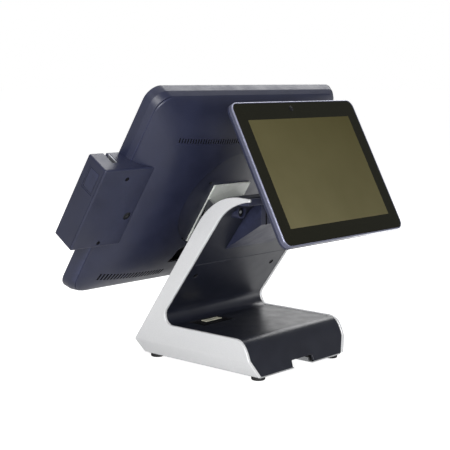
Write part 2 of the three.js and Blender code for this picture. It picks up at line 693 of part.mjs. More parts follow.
function readerBackPlate() {
  const { x, y, z } = READER;
  const plate = readerForm([
    [0, y[1] - READER_BACK],
    [0, y[1] - 1.6],
    [0.5, y[1] - 0.5],
    [1.6, y[1]],
  ]);
  const holes = READER_SCREWS.map((at) => rodY(at, 3, [30, 40], 12));
  const port = rodY(READER_PORT, 5.7, [30, 40], 20);
  const notch = slab([x[0] + 2, x[0] + 8], [30, 40], [z[0] - 1, z[0] + 3]);
  return cut(plate, coverForm(0.4, 0), port, notch, ...holes);
}
piece(head, "reader_back_plate", readerBackPlate(), NAVY);
READER_SCREWS.forEach((at, i) => {
  piece(head, `reader_screw_${i + 1}`, rodY(at, 2.6, [READER.y[1] - 2.1, READER.y[1] - 0.6], 12), STEEL);
});
piece(
  head,
  "reader_slot_guide",
  slab([CARD_SLOT.x[0] - 3.2, CARD_SLOT.x[0] - 0.1], [4.3, CARD_SLOT.depth - GAP], READER.z),
  STEEL,
);
piece(head, "read_head", slab([CARD_SLOT.x[1] - 0.4, 220], [6.4, 15.6], [-7.5, 7.5]), ZINC);
piece(head, "reader_board", slab([185, 225], [27, 28.6], [-52, 52]), BOARD);

function readerWindow() {
  const [ySpan, zSpan] = [READER_PANE.y, READER_PANE.z].map(([low, high]) => [low + GAP, high - GAP]);
  return slab([READER.x[1] - 1.2, READER.x[1] - 0.4], ySpan, zSpan);
}
piece(head, "reader_window", readerWindow(), BLACK);

// ---------- Customer display bracket on the stand ----------

// The wedge-shaped housing under the arm, open towards it.
function bracketHousing() {
  const outline = [
    [2, 147.6],
    [BRACKET_FRONT, 189],
    [BRACKET_FRONT, 230],
    [2, 230],
  ];
  const inner = [
    [-6, 146.3],
    [BRACKET_FRONT - 3, 190.7],
    [BRACKET_FRONT - 3, 235],
    [-6, 235],
  ];
  const armBody = band(innerLine, -COVER_INSET + GAP, -60, [-60, 60]);
  const above = slab([-60, 60], [-10, 80], [216.6, 240]);
  const solid = cut(prismX(outline, [-BRACKET_HALF, BRACKET_HALF]), armBody, above);
  const window = slab([-31, 31], [60, 80], [198, 212]);
  return cut(solid, prismX(inner, [-BRACKET_HALF + 3, BRACKET_HALF - 3]), window);
}
piece(stand, "bracket_housing", bracketHousing(), NAVY);

for (const [name, side] of SIDES) {
  const at = [side * BOSS.x, BOSS.z];
  const seat = BOSS.seat + GAP;
  const cap = rodY(at, 5, [seat, seat + 4], 16);
  const socket = rodY(at, 2.2, [seat + 2, seat + 5], 6);
  const shank = rodY(at, 2.7, [BOLT_END, seat + 1], 12);
  piece(stand, `bracket_bolt_${name}`, cut(join(cap, shank), socket), STEEL);
}

// The steel arm that carries the display: a plate on the spine's flange and two ears at its end.
function supportArm() {
  const plate = slab([-38, 38], [41.5, 60], [203, 207]);
  const tongue = slab([-24, 24], [58, 88], [203, 207]);
  const foot = [
    [86, 203],
    [86, 207],
  ];
  const ears = SIDES.map(([, s]) => ear([PIVOT.y, PIVOT.z], foot, spanOn(s, 18, 22)));
  return join(plate, tongue, ...ears);
}
piece(stand, "support_arm", supportArm(), STEEL);

// ---------- Customer display ----------
const DAXIS = [DISPLAY_AXIS.y, DISPLAY_AXIS.z];
function displayMount() {
  const plate = slab([-37.5, 37.5], [-33.6, -30.6], [-47, 28]);
  const foot = [
    [-33, DISPLAY_AXIS.z - 9],
    [-33, DISPLAY_AXIS.z + 12],
  ];
  return join(plate, ...SIDES.map(([, s]) => ear(DAXIS, foot, spanOn(s, 12, 16))));
}
piece(display, "display_mount", displayMount(), STEEL);
piece(display, "display_shaft", rodX(DAXIS, PIN_R, [-29, 29], 16), STEEL);
for (const [name, side] of SIDES) {
  const bore = shaftBore(DAXIS);
  const washer = cut(rodX(DAXIS, 7.5, spanOn(side, 16 + GAP, 18 - GAP), 16), bore);
  piece(display, `display_washer_${name}`, washer, BLACK);
  const nut = cut(rodX(DAXIS, 7.5, spanOn(side, 22 + GAP, 27), 6), bore);
  piece(display, `display_nut_${name}`, nut, STEEL);
}

// The rear housing: a thin edge, a shallow slope and a deeper box in the middle.
function displayHousing() {
  const { hw, hh, r } = DISPLAY;
  const outer = loft([
    boxRing(hw, hh, r, -6.3),
    boxRing(hw, hh, r, -9.5),
    boxRing(hw - 5, hh - 5, r, -13),
    boxRing(66, 56, r, -16),
    boxRing(62, 52, r, -30.3),
  ]);
  const hollow = loft([
    boxRing(hw - 2.4, hh - 2.4, r - 2, 0),
    boxRing(hw - 2.4, hh - 2.4, r - 2, -9),
    boxRing(63, 53, r - 2, -13),
    boxRing(59.5, 49.5, r - 2, -28),
  ]);
  return cut(outer, hollow);
}
piece(display, "display_housing", displayHousing(), NAVY);

// The bright rim round the display's glass.
function displayRim() {
  const { hw, hh, r } = DISPLAY;
  const body = loft([
    boxRing(hw, hh, r, -6),
    boxRing(hw, hh, r, -1),
    boxRing(hw - 0.8, hh - 0.8, r, 0),
  ]);
  const opening = roundedRect(DISPLAY_GLASS.hw + GAP, DISPLAY_GLASS.hh + GAP, DISPLAY_GLASS.r);
  return cut(body, prismY(opening, [-9, 9], 4));
}
piece(display, "display_rim", displayRim(), RIM);
piece(
  display,
  "display_glass",
  prismY(roundedRect(DISPLAY_GLASS.hw, DISPLAY_GLASS.hh, DISPLAY_GLASS.r), [-2.4, -0.4], 4),
  GLASS_BLACK,
);
piece(display, "display_lcd", slab([-106, 106], [-8.4, -2.8], [-76, 76]), SCREEN);
piece(display, "display_board", slab([-45, 45], [-22, -20.4], [-35, 30]), BOARD);
piece(display, "camera_lens", rodY([12, 83.5], 3.4, [-0.1, 0.2], 20), BLACK);

// ---------- Origin: the middle of the footprint, on the surface the feet stand on ----------
terminal.updateMatrixWorld(true);
const bounds = new THREE.Box3();
for (const mesh of parts) bounds.expandByObject(mesh, true);
const centre = bounds.getCenter(new THREE.Vector3());
terminal.position.set(-centre.x, -centre.y, -bounds.min.z);

export default terminal;
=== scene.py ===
"""The looks of a checkout terminal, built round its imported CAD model.

Lengths are in millimetres, and MM turns them into metres where a mesh or a place is made.
The camera's distance is in millimetres too; the lights are placed in metres.
"""
import math

import bmesh
import bpy
from mathutils import Matrix, Vector


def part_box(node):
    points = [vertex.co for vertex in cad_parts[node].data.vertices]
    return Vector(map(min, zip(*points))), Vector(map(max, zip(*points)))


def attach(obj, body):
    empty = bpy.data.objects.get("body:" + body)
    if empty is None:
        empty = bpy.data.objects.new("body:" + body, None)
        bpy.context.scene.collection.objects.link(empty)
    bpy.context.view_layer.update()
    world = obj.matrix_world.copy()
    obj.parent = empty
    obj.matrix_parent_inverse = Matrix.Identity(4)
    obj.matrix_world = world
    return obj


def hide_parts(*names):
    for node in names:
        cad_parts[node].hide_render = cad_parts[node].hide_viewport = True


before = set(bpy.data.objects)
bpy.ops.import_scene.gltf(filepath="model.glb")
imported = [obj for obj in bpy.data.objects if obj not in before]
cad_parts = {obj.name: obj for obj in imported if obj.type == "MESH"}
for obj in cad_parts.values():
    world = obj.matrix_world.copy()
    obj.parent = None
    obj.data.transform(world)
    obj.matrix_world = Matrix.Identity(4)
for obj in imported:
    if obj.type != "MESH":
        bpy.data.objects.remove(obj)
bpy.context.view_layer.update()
scene = bpy.context.scene
MM = 0.001

# ---------- Dimensions, as in the CAD model ----------
GAP = 0.3  # between neighbouring pieces
SEAM_GAP = 0.08  # between the covers and the side panels
STAND_HALF = 100
PANEL_T = 4.25
COVER_HALF = STAND_HALF - PANEL_T - SEAM_GAP
CREASE_Z = 24.4
BASE_HALF = 88.5
BASE_Z = 4
BASE_TOP = 51
COVER_INSET = 1.2
REAR_PROUD = 0.8
WALL = 3
SECTION_TOP, SECTION_REACH = 250, 130  # past the stand: the solids that pieces are trimmed to
SEAM_Z = 133
ARM_LEAN = math.radians(35.26)
TOE, CREASE = (-102.5, BASE_Z), (-111, 22)  # (y, z) on the operator's side
ARM_TOP, ARM_TIP = (10, 193), (94, 227)
INNER_TIP, INNER_FOOT, INNER_RISE = (95, 223.4), (-49.8, 71.3), (92.8, 125.2)
CORNER, CORNER_R = (-39.6, 63.7), 12.7
ROLL = (72, BASE_TOP)
ARM_FACE = 21.5
ARM_SCREW, ARM_SCREW_R, ARM_HOLE_R = (77, 131.6), 3, 3.4
NOTCH_X, NOTCH_TOP, NOTCH_DRAFT = (-25, 20), 12.5, 1.5
WELL_X = (8, 66)
WELL_Y = (-42, -12)
WELL_DEPTH = 2
NOSE_Y = (71.6, 90.8)
HINGE_WINDOW_HALF, HINGE_WINDOW_Z = 33, (146, 194)
BRACKET_HALF, BRACKET_FRONT, BRACKET_TOP = 48.4, 70.8, 216.6
GROOVE_X, STRIP_X = (37.6, 39.4), (39.3, 60)
GROOVE_DEPTH, STRIP_DEPTH = 1.5, 0.6
BOSS_X, BOSS_Z, BOSS_R, BORE_R, REAR_BOSS_R = 71, 206, 8, 6.2, 6
BOSS_Y, BOSS_SEAT, BOLT_END, BOLT_R = (44, 57), 51, 32.5, 2.7
BOLT_HEAD, BOLT_HEAD_R, SOCKET_R = 4, 5, 2.3

HEAD_TILT = math.radians(33.6)
HEAD_HW, HEAD_HH, HEAD_R = 183.7, 160, 20
BEZEL_RIM, BEZEL_RIM_SIDE, BEZEL_RIM_TOP = 11.7, 2.6, 1.4
BEZEL_BACK, BEZEL_SIDE, BEZEL_TOP = 19, 6.5, 4.4
COVER_HW, COVER_HH, COVER_R = 177, 155.5, 24
COVER_Y, COVER_LIFT, COVER_WALL = 19.6, 31.5, 2.6
FALL_X, FALL_Z = (3, 0.677), (4, 0.888)  # how the cover falls off to its sides and ends
GLASS_HW, GLASS_HH, GLASS_R = 161, 126, 4
TOUCH_HW, TOUCH_HH = 152, 114
DISH_R, DISH_Z, DISH_FLOOR = 79, 6, 47.4
BAY_HALF, BAY_Z = 48, (-101, -68)
RIB_HALF, RIB_Z = 134, 97
BUTTON_X, BUTTON_Z, BUTTON_R = 150, -143, 5
READER_X, READER_Y, READER_Z = (150, 231.7), (0.6, 36.3), (-61.5, 61.7)
READER_BACK = 2.4
CARD_SLOT_X, CARD_SLOT_DEPTH = (204, 210), 21.5
READER_SCREWS = ((190, 46.5), (189, -54.5))
READER_PORT, READER_PORT_R = (160.5, -14), 5.7
PANE_Y, PANE_Z, PANE_SEAT = (11.5, 28.5), (22, 50), 2
READER_CLEAR = 0.4  # between the reader and the case that it sits on

DISPLAY_TILT = math.radians(28.06)
DISPLAY_HW, DISPLAY_HH, DISPLAY_R = 122.6, 94.2, 11
DGLASS_HW, DGLASS_HH, DGLASS_R = 120.8, 92.4, 9.5
ACTIVE_HW, ACTIVE_HH, ACTIVE_Z = 101.8, 71.1, -1.0
BOX_HW, BOX_HH = 65.5, 55.5
LIP_Y = -1.3

# ---------- Frames: where each group of pieces sits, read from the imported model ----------


def middle(node):
    """The middle of a CAD node's box, in metres."""
    low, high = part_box(node)
    return (Vector(low) + Vector(high)) / 2


BASE_PLATE_MIDDLE_Y, BASE_PLATE_MIDDLE_Z = 0.25, 5.1
TOUCH_GLASS_Y = 1.9
DISPLAY_GLASS_Y = -1.4
plate = middle("base_plate")
STAND = Matrix.Translation(plate - Vector((0, BASE_PLATE_MIDDLE_Y, BASE_PLATE_MIDDLE_Z)) * MM)
ARM = STAND @ Matrix.Translation((0, CREASE[0] * MM, CREASE[1] * MM)) @ Matrix.Rotation(-ARM_LEAN, 4, "X")


def tilted(node, angle, local_y):
    """The frame of a tilted body, from the middle of a sheet that is centred in it at local_y."""
    turn = Matrix.Rotation(angle, 4, "X")
    return Matrix.Translation(middle(node) - turn @ Vector((0, local_y * MM, 0))) @ turn


HEAD = tilted("touch_glass", -HEAD_TILT, TOUCH_GLASS_Y)
DISPLAY = tilted("display_glass", DISPLAY_TILT, DISPLAY_GLASS_Y)

# ---------- Camera: its place in the stand's frame and the way from the object back to it ----------
CAMERA_AT = (1108.61, 964.99, 370.95)
CAMERA_BACK = Vector((0.7362, 0.6642, 0.1302))
CAMERA_LENS = 88.54
camera_data = bpy.data.cameras.new("camera")
camera_data.lens = CAMERA_LENS
camera_data.sensor_width = 36
camera_data.clip_end = 50
camera = bpy.data.objects.new("camera", camera_data)
scene.collection.objects.link(camera)
camera.rotation_mode = "QUATERNION"
camera.location = STAND @ (Vector(CAMERA_AT) * MM)
camera.rotation_quaternion = (-CAMERA_BACK).to_track_quat("-Z", "Y")
scene.camera = camera
scene.view_settings.view_transform = "Standard"

# ---------- Materials ----------


class Nodes:
    """A material's node tree, with short calls for what every finish here needs."""

    def __init__(self, name, color, roughness, metallic=0.0, specular=0.5):
        self.material = bpy.data.materials.new(name)
        self.material.use_nodes = True
        self.tree = self.material.node_tree
        self.shader = self.tree.nodes["Principled BSDF"]
        self.shader.inputs["Base Color"].default_value = (*color, 1)
        self.shader.inputs["Roughness"].default_value = roughness
        self.shader.inputs["Metallic"].default_value = metallic
        self.shader.inputs["Specular IOR Level"].default_value = specular
        self.place = self.tree.nodes.new("ShaderNodeTexCoord").outputs["Object"]

    def add(self, kind, **settings):
        node = self.tree.nodes.new(kind)
        for key, value in settings.items():
            setattr(node, key, value)
        return node

    def link(self, source, target):
        self.tree.links.new(source, target)

    def noise(self, size_mm, detail=3.0, stretch=(1, 1, 1)):
        """Noise whose features are about size_mm across."""
        mapping = self.add("ShaderNodeMapping")
        mapping.inputs["Scale"].default_value = stretch
        self.link(self.place, mapping.inputs["Vector"])
        noise = self.add("ShaderNodeTexNoise")
        noise.inputs["Scale"].default_value = 1 / (size_mm * MM)
        noise.inputs["Detail"].default_value = detail
        self.link(mapping.outputs["Vector"], noise.inputs["Vector"])
        return noise.outputs["Fac"]

    def spread(self, source, low, high, from_low=0.3, from_high=0.7):
        """A value mapped from one range to another; the first range is where noise mostly lies."""
        ranged = self.add("ShaderNodeMapRange")
        ranged.inputs["From Min"].default_value = from_low
        ranged.inputs["From Max"].default_value = from_high
        ranged.inputs["To Min"].default_value = low
        ranged.inputs["To Max"].default_value = high
        self.link(source, ranged.inputs["Value"])
        return ranged.outputs["Result"]

    def mix(self, factor, first, second):
        """A colour between two; the mix node's colour sockets are 6 and 7, and its colour output is 2."""
        mixed = self.add("ShaderNodeMix", data_type="RGBA")
        for socket, value in ((mixed.inputs[6], first), (mixed.inputs[7], second)):
            if isinstance(value, tuple):
                socket.default_value = (*value, 1)
            else:
                self.link(value, socket)
        self.link(factor, mixed.inputs[0])
        return mixed.outputs[2]

    def math(self, operation, first, second):
        node = self.add("ShaderNodeMath", operation=operation)
        for socket, value in zip(node.inputs, (first, second)):
            if isinstance(value, (int, float)):
                socket.default_value = value
            else:
                self.link(value, socket)
        return node.outputs[0]

    def color(self, source):
        self.link(source, self.shader.inputs["Base Color"])

    def roughness(self, source):
        self.link(source, self.shader.inputs["Roughness"])

    def bump(self, source, depth_mm):
        bump = self.add("ShaderNodeBump")
        bump.inputs["Strength"].default_value = 1
        bump.inputs["Distance"].default_value = depth_mm * MM
        self.link(source, bump.inputs["Height"])
        self.link(bump.outputs["Normal"], self.shader.inputs["Normal"])

    def edges(self):
        """1 on sharp outer edges, 0 elsewhere."""
        geometry = self.add("ShaderNodeNewGeometry")
        return self.spread(geometry.outputs["Pointiness"], 0, 1, 0.53, 0.62)


def shade(color, factor):
    """A colour made darker or lighter."""
    return tuple(channel * factor for channel in color)


def moulded(name, color, roughness, grain_mm=0.5, grain_depth=0.02, wear_and_highlight=1.6, specular=0.5):
    """Grained plastic: slightly mottled colour and gloss, lighter along its sharp edges, partly rubbed by
    handling and partly a painted highlight.
    """
    n = Nodes(name, color, roughness, specular=specular)
    cloudy = n.spread(n.noise(35, 4), 0, 1)
    mottled = n.mix(cloudy, shade(color, 0.9), shade(color, 1.1))
    # Painted highlight, partly rubbing: sharp edges take a lighter copy of the colour.
    worn_and_lit = n.math("MULTIPLY", n.edges(), n.spread(n.noise(6, 4), 0.1, 0.6))
    n.color(n.mix(worn_and_lit, mottled, shade(color, wear_and_highlight)))
    n.roughness(n.spread(n.noise(18, 5), roughness - 0.05, roughness + 0.06))
    n.bump(n.noise(grain_mm, 2), grain_depth)
    return n.material


def painted(name, color, roughness, metallic, specular=0.5, wear_and_highlight=1.2):
    """Satin metallic paint: fine flake, faint orange peel, edges lighter, partly rubbed bright by handling
    and partly a painted highlight.
    """
    n = Nodes(name, color, roughness, metallic, specular)
    flake = n.spread(n.noise(0.35, 1), 0, 1, 0.35, 0.65)
    flaked = n.mix(flake, shade(color, 0.94), shade(color, 1.05))
    # Painted highlight, partly rubbing: sharp edges take a lighter copy of the colour.
    worn_and_lit = n.math("MULTIPLY", n.edges(), n.spread(n.noise(8, 4), 0.2, 0.8))
    n.color(n.mix(worn_and_lit, flaked, shade(color, wear_and_highlight)))
    n.roughness(n.spread(n.noise(22, 4), roughness - 0.05, roughness + 0.05))
    n.bump(n.noise(1.6, 2), 0.012)
    return n.material


def metal(name, color, roughness, stretch=(1, 1, 1)):
    """Metal with fine brushing along one axis, smudged in places."""
    n = Nodes(name, color, roughness, 1.0)
    brushed = n.noise(0.6, 3, stretch)
    n.color(n.mix(n.spread(brushed, 0, 1), shade(color, 0.82), shade(color, 1.1)))
    smudge = n.spread(n.noise(14, 5), -0.06, 0.1)
    n.roughness(n.math("ADD", smudge, n.spread(brushed, roughness - 0.05, roughness + 0.05)))
    n.bump(brushed, 0.008)
    return n.material


# How far the painted sheen on a screen leans towards +X.
PAINTED_SHEEN_LEAN = 0.45


def screen_glass(name, half_w, half_h, middle_z, border, active, painted_sheen):
    """Cover glass printed dark round the screen; the panel is painted lighter towards its low +X corner, a
    painted sheen.
    """
    n = Nodes(name, border, 0.14, specular=0.16)
    parts = n.add("ShaderNodeSeparateXYZ")
    n.link(n.place, parts.inputs[0])
    across = n.math("ABSOLUTE", parts.outputs["X"], 0)
    up = n.math("ABSOLUTE", n.math("SUBTRACT", parts.outputs["Z"], middle_z * MM), 0)
    inside = n.math(
        "MULTIPLY",
        n.math("LESS_THAN", across, half_w * MM),
        n.math("LESS_THAN", up, half_h * MM),
    )
    # Painted sheen: the panel's colour grows lighter towards its low +X corner.
    sheen_slope = n.math("SUBTRACT", n.math("MULTIPLY", parts.outputs["X"], PAINTED_SHEEN_LEAN), parts.outputs["Z"])
    reach = (PAINTED_SHEEN_LEAN * half_w + half_h) * MM
    panel = n.mix(n.spread(sheen_slope, 0, 1, -reach, reach), active, painted_sheen)
    cloudy = n.spread(n.noise(60, 3), 0, 0.25)
    n.color(n.mix(inside, border, n.mix(cloudy, panel, shade(active, 0.8))))
    n.roughness(n.spread(n.noise(25, 5), 0.1, 0.19))
    return n.material


NAVY = moulded("navy_plastic", (0.017, 0.02, 0.045), 0.41, grain_mm=0.7, wear_and_highlight=2.8)
CHARCOAL = moulded("charcoal_plastic", (0.0095, 0.011, 0.019), 0.33, grain_mm=0.6, grain_depth=0.014)
# Painted shade: cutters in this near-black finish leave it on the faces of the holes, slots, grooves and
# hollows they make, in place of the part's own colour.
PAINTED_SHADE = moulded("painted_recess_shade", (0.005, 0.005, 0.007), 0.7, specular=0.2)
BLACK_STEEL = metal("black_steel", (0.02, 0.021, 0.024), 0.45)
BLACK = moulded("black_plastic", (0.01, 0.011, 0.013), 0.35, grain_depth=0.008)
RUBBER = moulded("rubber", (0.009, 0.009, 0.01), 0.8, grain_mm=0.4, grain_depth=0.05)
CREAM = moulded("cream_plastic", (0.62, 0.60, 0.48), 0.55, wear_and_highlight=1.1)
SILVER = painted("silver_paint", (0.76, 0.765, 0.775), 0.36, 0.25, wear_and_highlight=1.5)
RIM = painted("bright_rim", (0.1, 0.105, 0.16), 0.32, 0.3, wear_and_highlight=2.0)
# Painted highlight: a lighter copy of the rim's paint, for the lip faces that don't look down.
RIM_HIGHLIGHT = painted("rim_painted_highlight", (0.3, 0.31, 0.42), 0.28, 0.5)
STEEL = metal("steel", (0.5, 0.51, 0.52), 0.34, (1, 12, 12))
ZINC = painted("zinc_casting", (0.86, 0.89, 0.84), 0.4, 0.1)
SLOT_METAL = metal("slot_metal", (0.34, 0.35, 0.38), 0.5, (1, 12, 1))
BOARD = moulded("circuit_board", (0.012, 0.1, 0.035), 0.45)
DISPLAY_FACE = screen_glass(
    "display_glass",
    ACTIVE_HW,
    ACTIVE_HH,
    ACTIVE_Z,
    border=(0.009, 0.009, 0.005),
    active=(0.062, 0.054, 0.018),
    painted_sheen=(0.118, 0.106, 0.054),
)
TOUCH_FACE = screen_glass(
    "touch_glass",
    TOUCH_HW,
    TOUCH_HH,
    0,
    border=(0.006, 0.006, 0.007),
    active=(0.02, 0.021, 0.023),
    painted_sheen=(0.03, 0.031, 0.034),
)


def lens_glass():
    n = Nodes("lens", (0.004, 0.004, 0.006), 0.06, specular=0.45)
    n.roughness(n.spread(n.noise(2), 0.04, 0.09))
    return n.material


LENS = lens_glass()

# ---------- Mesh code ----------


def rounded_rect(hw, hh, r, steps=8, wide=1, tall=1):
    """A rounded rectangle, anticlockwise from its right side; wide and tall divide its straight sides."""
    points = []
    for quarter, (sx, sz) in enumerate(((1, 1), (-1, 1), (-1, -1), (1, -1))):
        for i in range(steps + 1):
            a = (quarter + i / steps) * math.pi / 2
            points.append((sx * (hw - r) + r * math.cos(a), sz * (hh - r) + r * math.sin(a)))
        x0, z0 = points[-1]
        level = quarter % 2 == 0
        parts = wide if level else tall
        for i in range(1, parts):
            t = 1 - 2 * i / parts
            points.append((x0 * t, z0) if level else (x0, z0 * t))
    return points


def ring_at(y, hw, hh, r, steps):
    """A rounded rectangle as a ring of points at a depth y."""
    return [(x, y, z) for x, z in rounded_rect(hw, hh, r, steps)]


def circle(centre, r, steps=32):
    turns = (i * 2 * math.pi / steps for i in range(steps))
    return [(centre[0] + r * math.cos(a), centre[1] + r * math.sin(a)) for a in turns]


def bezier(p0, p1, p2, p3, steps):
    """Points along a cubic curve, without its first."""
    points = []
    for i in range(1, steps + 1):
        t = i / steps
        u = 1 - t
        weights = (u**3, 3 * u * u * t, 3 * u * t * t, t**3)
        points.append(tuple(sum(w * p[k] for w, p in zip(weights, (p0, p1, p2, p3))) for k in (0, 1)))
    return points


def offset_line(points, distance):
    """A polyline moved to its left by a distance, to its right when negative."""
    moved = []
    for i, point in enumerate(points):
        before = points[max(i - 1, 0)]
        after = points[min(i + 1, len(points) - 1)]
        normals = []
        for a, b in ((before, point), (point, after)):
            step = Vector((b[0] - a[0], b[1] - a[1]))
            if step.length > 0:
                normals.append(Vector((-step.y, step.x)).normalized())
        mean = sum(normals, Vector((0, 0))).normalized()
        scale = distance / max(mean.dot(normals[-1]), 0.4)
        moved.append((point[0] + mean.x * scale, point[1] + mean.y * scale))
    return moved


def mesh_object(name, mesh, place, material):
    obj = bpy.data.objects.new(name, mesh)
    scene.collection.objects.link(obj)
    obj.matrix_world = place
    mesh.materials.append(material)
    return obj


def finished(name, bm):
    """The mesh of a bmesh, which is freed."""
    mesh = bpy.data.meshes.new(name)
    bm.to_mesh(mesh)
    bm.free()
    return mesh


def loft(name, rings, place, material):
    """A closed solid through rings of equal length, given in millimetres, capped at both ends."""
    bm = bmesh.new()
    rows = [[bm.verts.new(Vector(p) * MM) for p in ring] for ring in rings]
    for low, high in zip(rows, rows[1:]):
        for i in range(len(low)):
            j = (i + 1) % len(low)
            bm.faces.new((low[i], low[j], high[j], high[i]))
    bm.faces.new(list(reversed(rows[0])))
    bm.faces.new(rows[-1])
    bmesh.ops.recalc_face_normals(bm, faces=bm.faces)
    return mesh_object(name, finished(name, bm), place, material)


AXES = {
    "X": lambda a, b, along: (along, a, b),
    "Y": lambda a, b, along: (a, along, b),
    "Z": lambda a, b, along: (a, b, along),
}


def prism(name, outline, axis, span, place, material):
    """An outline pushed along an axis of its frame."""
    rings = [[AXES[axis](a, b, along) for a, b in outline] for along in span]
    return loft(name, rings, place, material)


def block(x, y, z, place, material, name="block"):
    outline = [(x[0], y[0]), (x[1], y[0]), (x[1], y[1]), (x[0], y[1])]
    return prism(name, outline, "Z", z, place, material)


def rod(centre, r, axis, span, place, material, steps=32):
    return prism("rod", circle(centre, r, steps), axis, span, place, material)


def lathe(name, profile, axis, centre, place, material, steps=40):
    """A turned solid: profile is (distance along the axis, radius) from one end to the other."""
    rings = []
    for along, r in profile:
        rings.append([AXES[axis](a, b, along) for a, b in circle(centre, r, steps)])
    return loft(name, rings, place, material)


def band(name, line, near, far, span, place, material):
    """A sheet of even thickness along a line in Y and Z."""
    outline = offset_line(line, near) + offset_line(line, far)[::-1]
    return prism(name, outline, "X", span, place, material)


def bake(obj):
    """Makes the modifiers' result the object's mesh."""
    graph = bpy.context.evaluated_depsgraph_get()
    shown = obj.evaluated_get(graph)
    mesh = bpy.data.meshes.new_from_object(shown, preserve_all_data_layers=True, depsgraph=graph)
    old = obj.data
    obj.modifiers.clear()
    obj.data = mesh
    bpy.data.meshes.remove(old)
    return obj


def discard(obj):
    mesh = obj.data
    bpy.data.objects.remove(obj)
    bpy.data.meshes.remove(mesh)


def merged(objects):
    """One object from several that share a frame."""
    first = objects[0]
    if len(objects) > 1:
        bm = bmesh.new()
        for obj in objects:
            bm.from_mesh(obj.data)
        bm.to_mesh(first.data)
        bm.free()
        for obj in objects[1:]:
            discard(obj)
    return first


def combine(obj, tools, operation="DIFFERENCE", separate=False):
    """Cuts the tools from the object, adds them or keeps what they share; faces keep their material.

    Tools that overlap each other are combined one after another, with separate=True.
    """
    for tool in tools if separate else [merged(tools)]:
        modifier = obj.modifiers.new("combine", "BOOLEAN")
        modifier.operation = operation
        modifier.solver = "EXACT"
        modifier.material_mode = "TRANSFER"
        modifier.object = tool
        bpy.context.view_layer.update()
        bake(obj)
        discard(tool)
    return obj


def soften(obj, width, segments=3, angle=32):
    """Rounds the edges, and shades flat faces flat and the curved ones between them smooth."""
    if width:
        modifier = obj.modifiers.new("edges", "BEVEL")
        modifier.width = width * MM
        modifier.segments = segments
        modifier.limit_method = "ANGLE"
        modifier.angle_limit = math.radians(angle)
        modifier.miter_outer = "MITER_ARC"
        bpy.context.view_layer.update()
        bake(obj)
    obj.data.shade_smooth()
    obj.data.set_sharp_from_angle(angle=math.radians(40))
    obj.modifiers.new("normals", "WEIGHTED_NORMAL").keep_sharp = True
    bpy.context.view_layer.update()
    return bake(obj)


def belongs(obj, body, slot, *nodes):
    """The piece rides on a body and stands for CAD nodes, which are hidden; slot is not used."""
    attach(obj, body)
    if nodes:
        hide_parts(*nodes)
    return obj


SIDES = (("left", -1), ("right", 1))


def on_side(side, near, far):
    """A span along X on one side of the middle, low end first."""
    return (near, far) if side > 0 else (-far, -near)


# ---------- Stand ----------


def operator_line():
    """The operator's side: toe, crease, up the arm and over its top to the tip."""
    over = bezier(ARM_TOP, (24, 211), (45, 228), (75, 228), 18)
    return [TOE, CREASE, ARM_TOP] + over + [ARM_TIP]


def customer_line():
    """The customer's side: tip, down the arm, round the corner and out over the base."""
    under = bezier(INNER_TIP, (78, 221.5), (56, 214), (43, 196.5), 16)
    start, end = math.radians(143.3), 1.5 * math.pi
    corner = []
    for i in range(13):
        a = start + (end - start) * i / 12
        corner.append((CORNER[0] + CORNER_R * math.cos(a), CORNER[1] + CORNER_R * math.sin(a)))
    front = bezier(ROLL, (84, 50.5), (90, 39), (94.5, 25), 14)
    return [INNER_TIP] + under + corner + [ROLL] + front + [(102, BASE_Z)]


def along_arm(z):
    """The point of the arm's straight inner side at a height."""
    return (INNER_FOOT[0] + (z - INNER_FOOT[1]) * INNER_RISE[0] / INNER_RISE[1], z)


operator = operator_line()
customer = customer_line()
straight_arm = next(i for i, p in enumerate(customer) if p[1] < 100)
PANEL_FOOT = BASE_HALF - PANEL_T - 0.6


def panel_section(side):
    """What a side panel may fill, seen from the front: upright, with a skirt that tapers to the foot."""
    inner = STAND_HALF - PANEL_T
    outline = [
        (STAND_HALF, SECTION_TOP),
        (STAND_HALF, CREASE_Z),
        (BASE_HALF, BASE_Z),
        (PANEL_FOOT, BASE_Z),
        (inner, CREASE_Z + 1.2),
        (inner, SECTION_TOP),
    ]
    through = (-SECTION_REACH, SECTION_REACH)
    return prism("section", [(side * x, z) for x, z in outline], "Y", through, STAND, SILVER)


def between_panels():
    """What a cover may fill: the space that the side panels leave."""
    half = [(PANEL_FOOT - SEAM_GAP, BASE_Z), (COVER_HALF, CREASE_Z + 1.4), (COVER_HALF, SECTION_TOP)]
    outline = [(-x, z) for x, z in reversed(half)] + half
    return prism("section", outline, "Y", (-SECTION_REACH, SECTION_REACH), STAND, CHARCOAL)


for name, side in SIDES:
    panel = prism(f"panel_{name}", operator + customer, "X", on_side(side, 70, STAND_HALF), STAND, SILVER)
    combine(panel, [panel_section(side)], "INTERSECT")
    belongs(soften(panel, 2.0, 4), "stand", "silver_paint", f"side_panel_{name}")


def arm_screw_holes():
    span = (ARM_FACE - 8, ARM_FACE + 8)
    # Painted shade on the screw holes' walls.
    return [rod((side * ARM_SCREW[0], ARM_SCREW[1]), ARM_HOLE_R, "Y", span, ARM, PAINTED_SHADE) for _, side in SIDES]


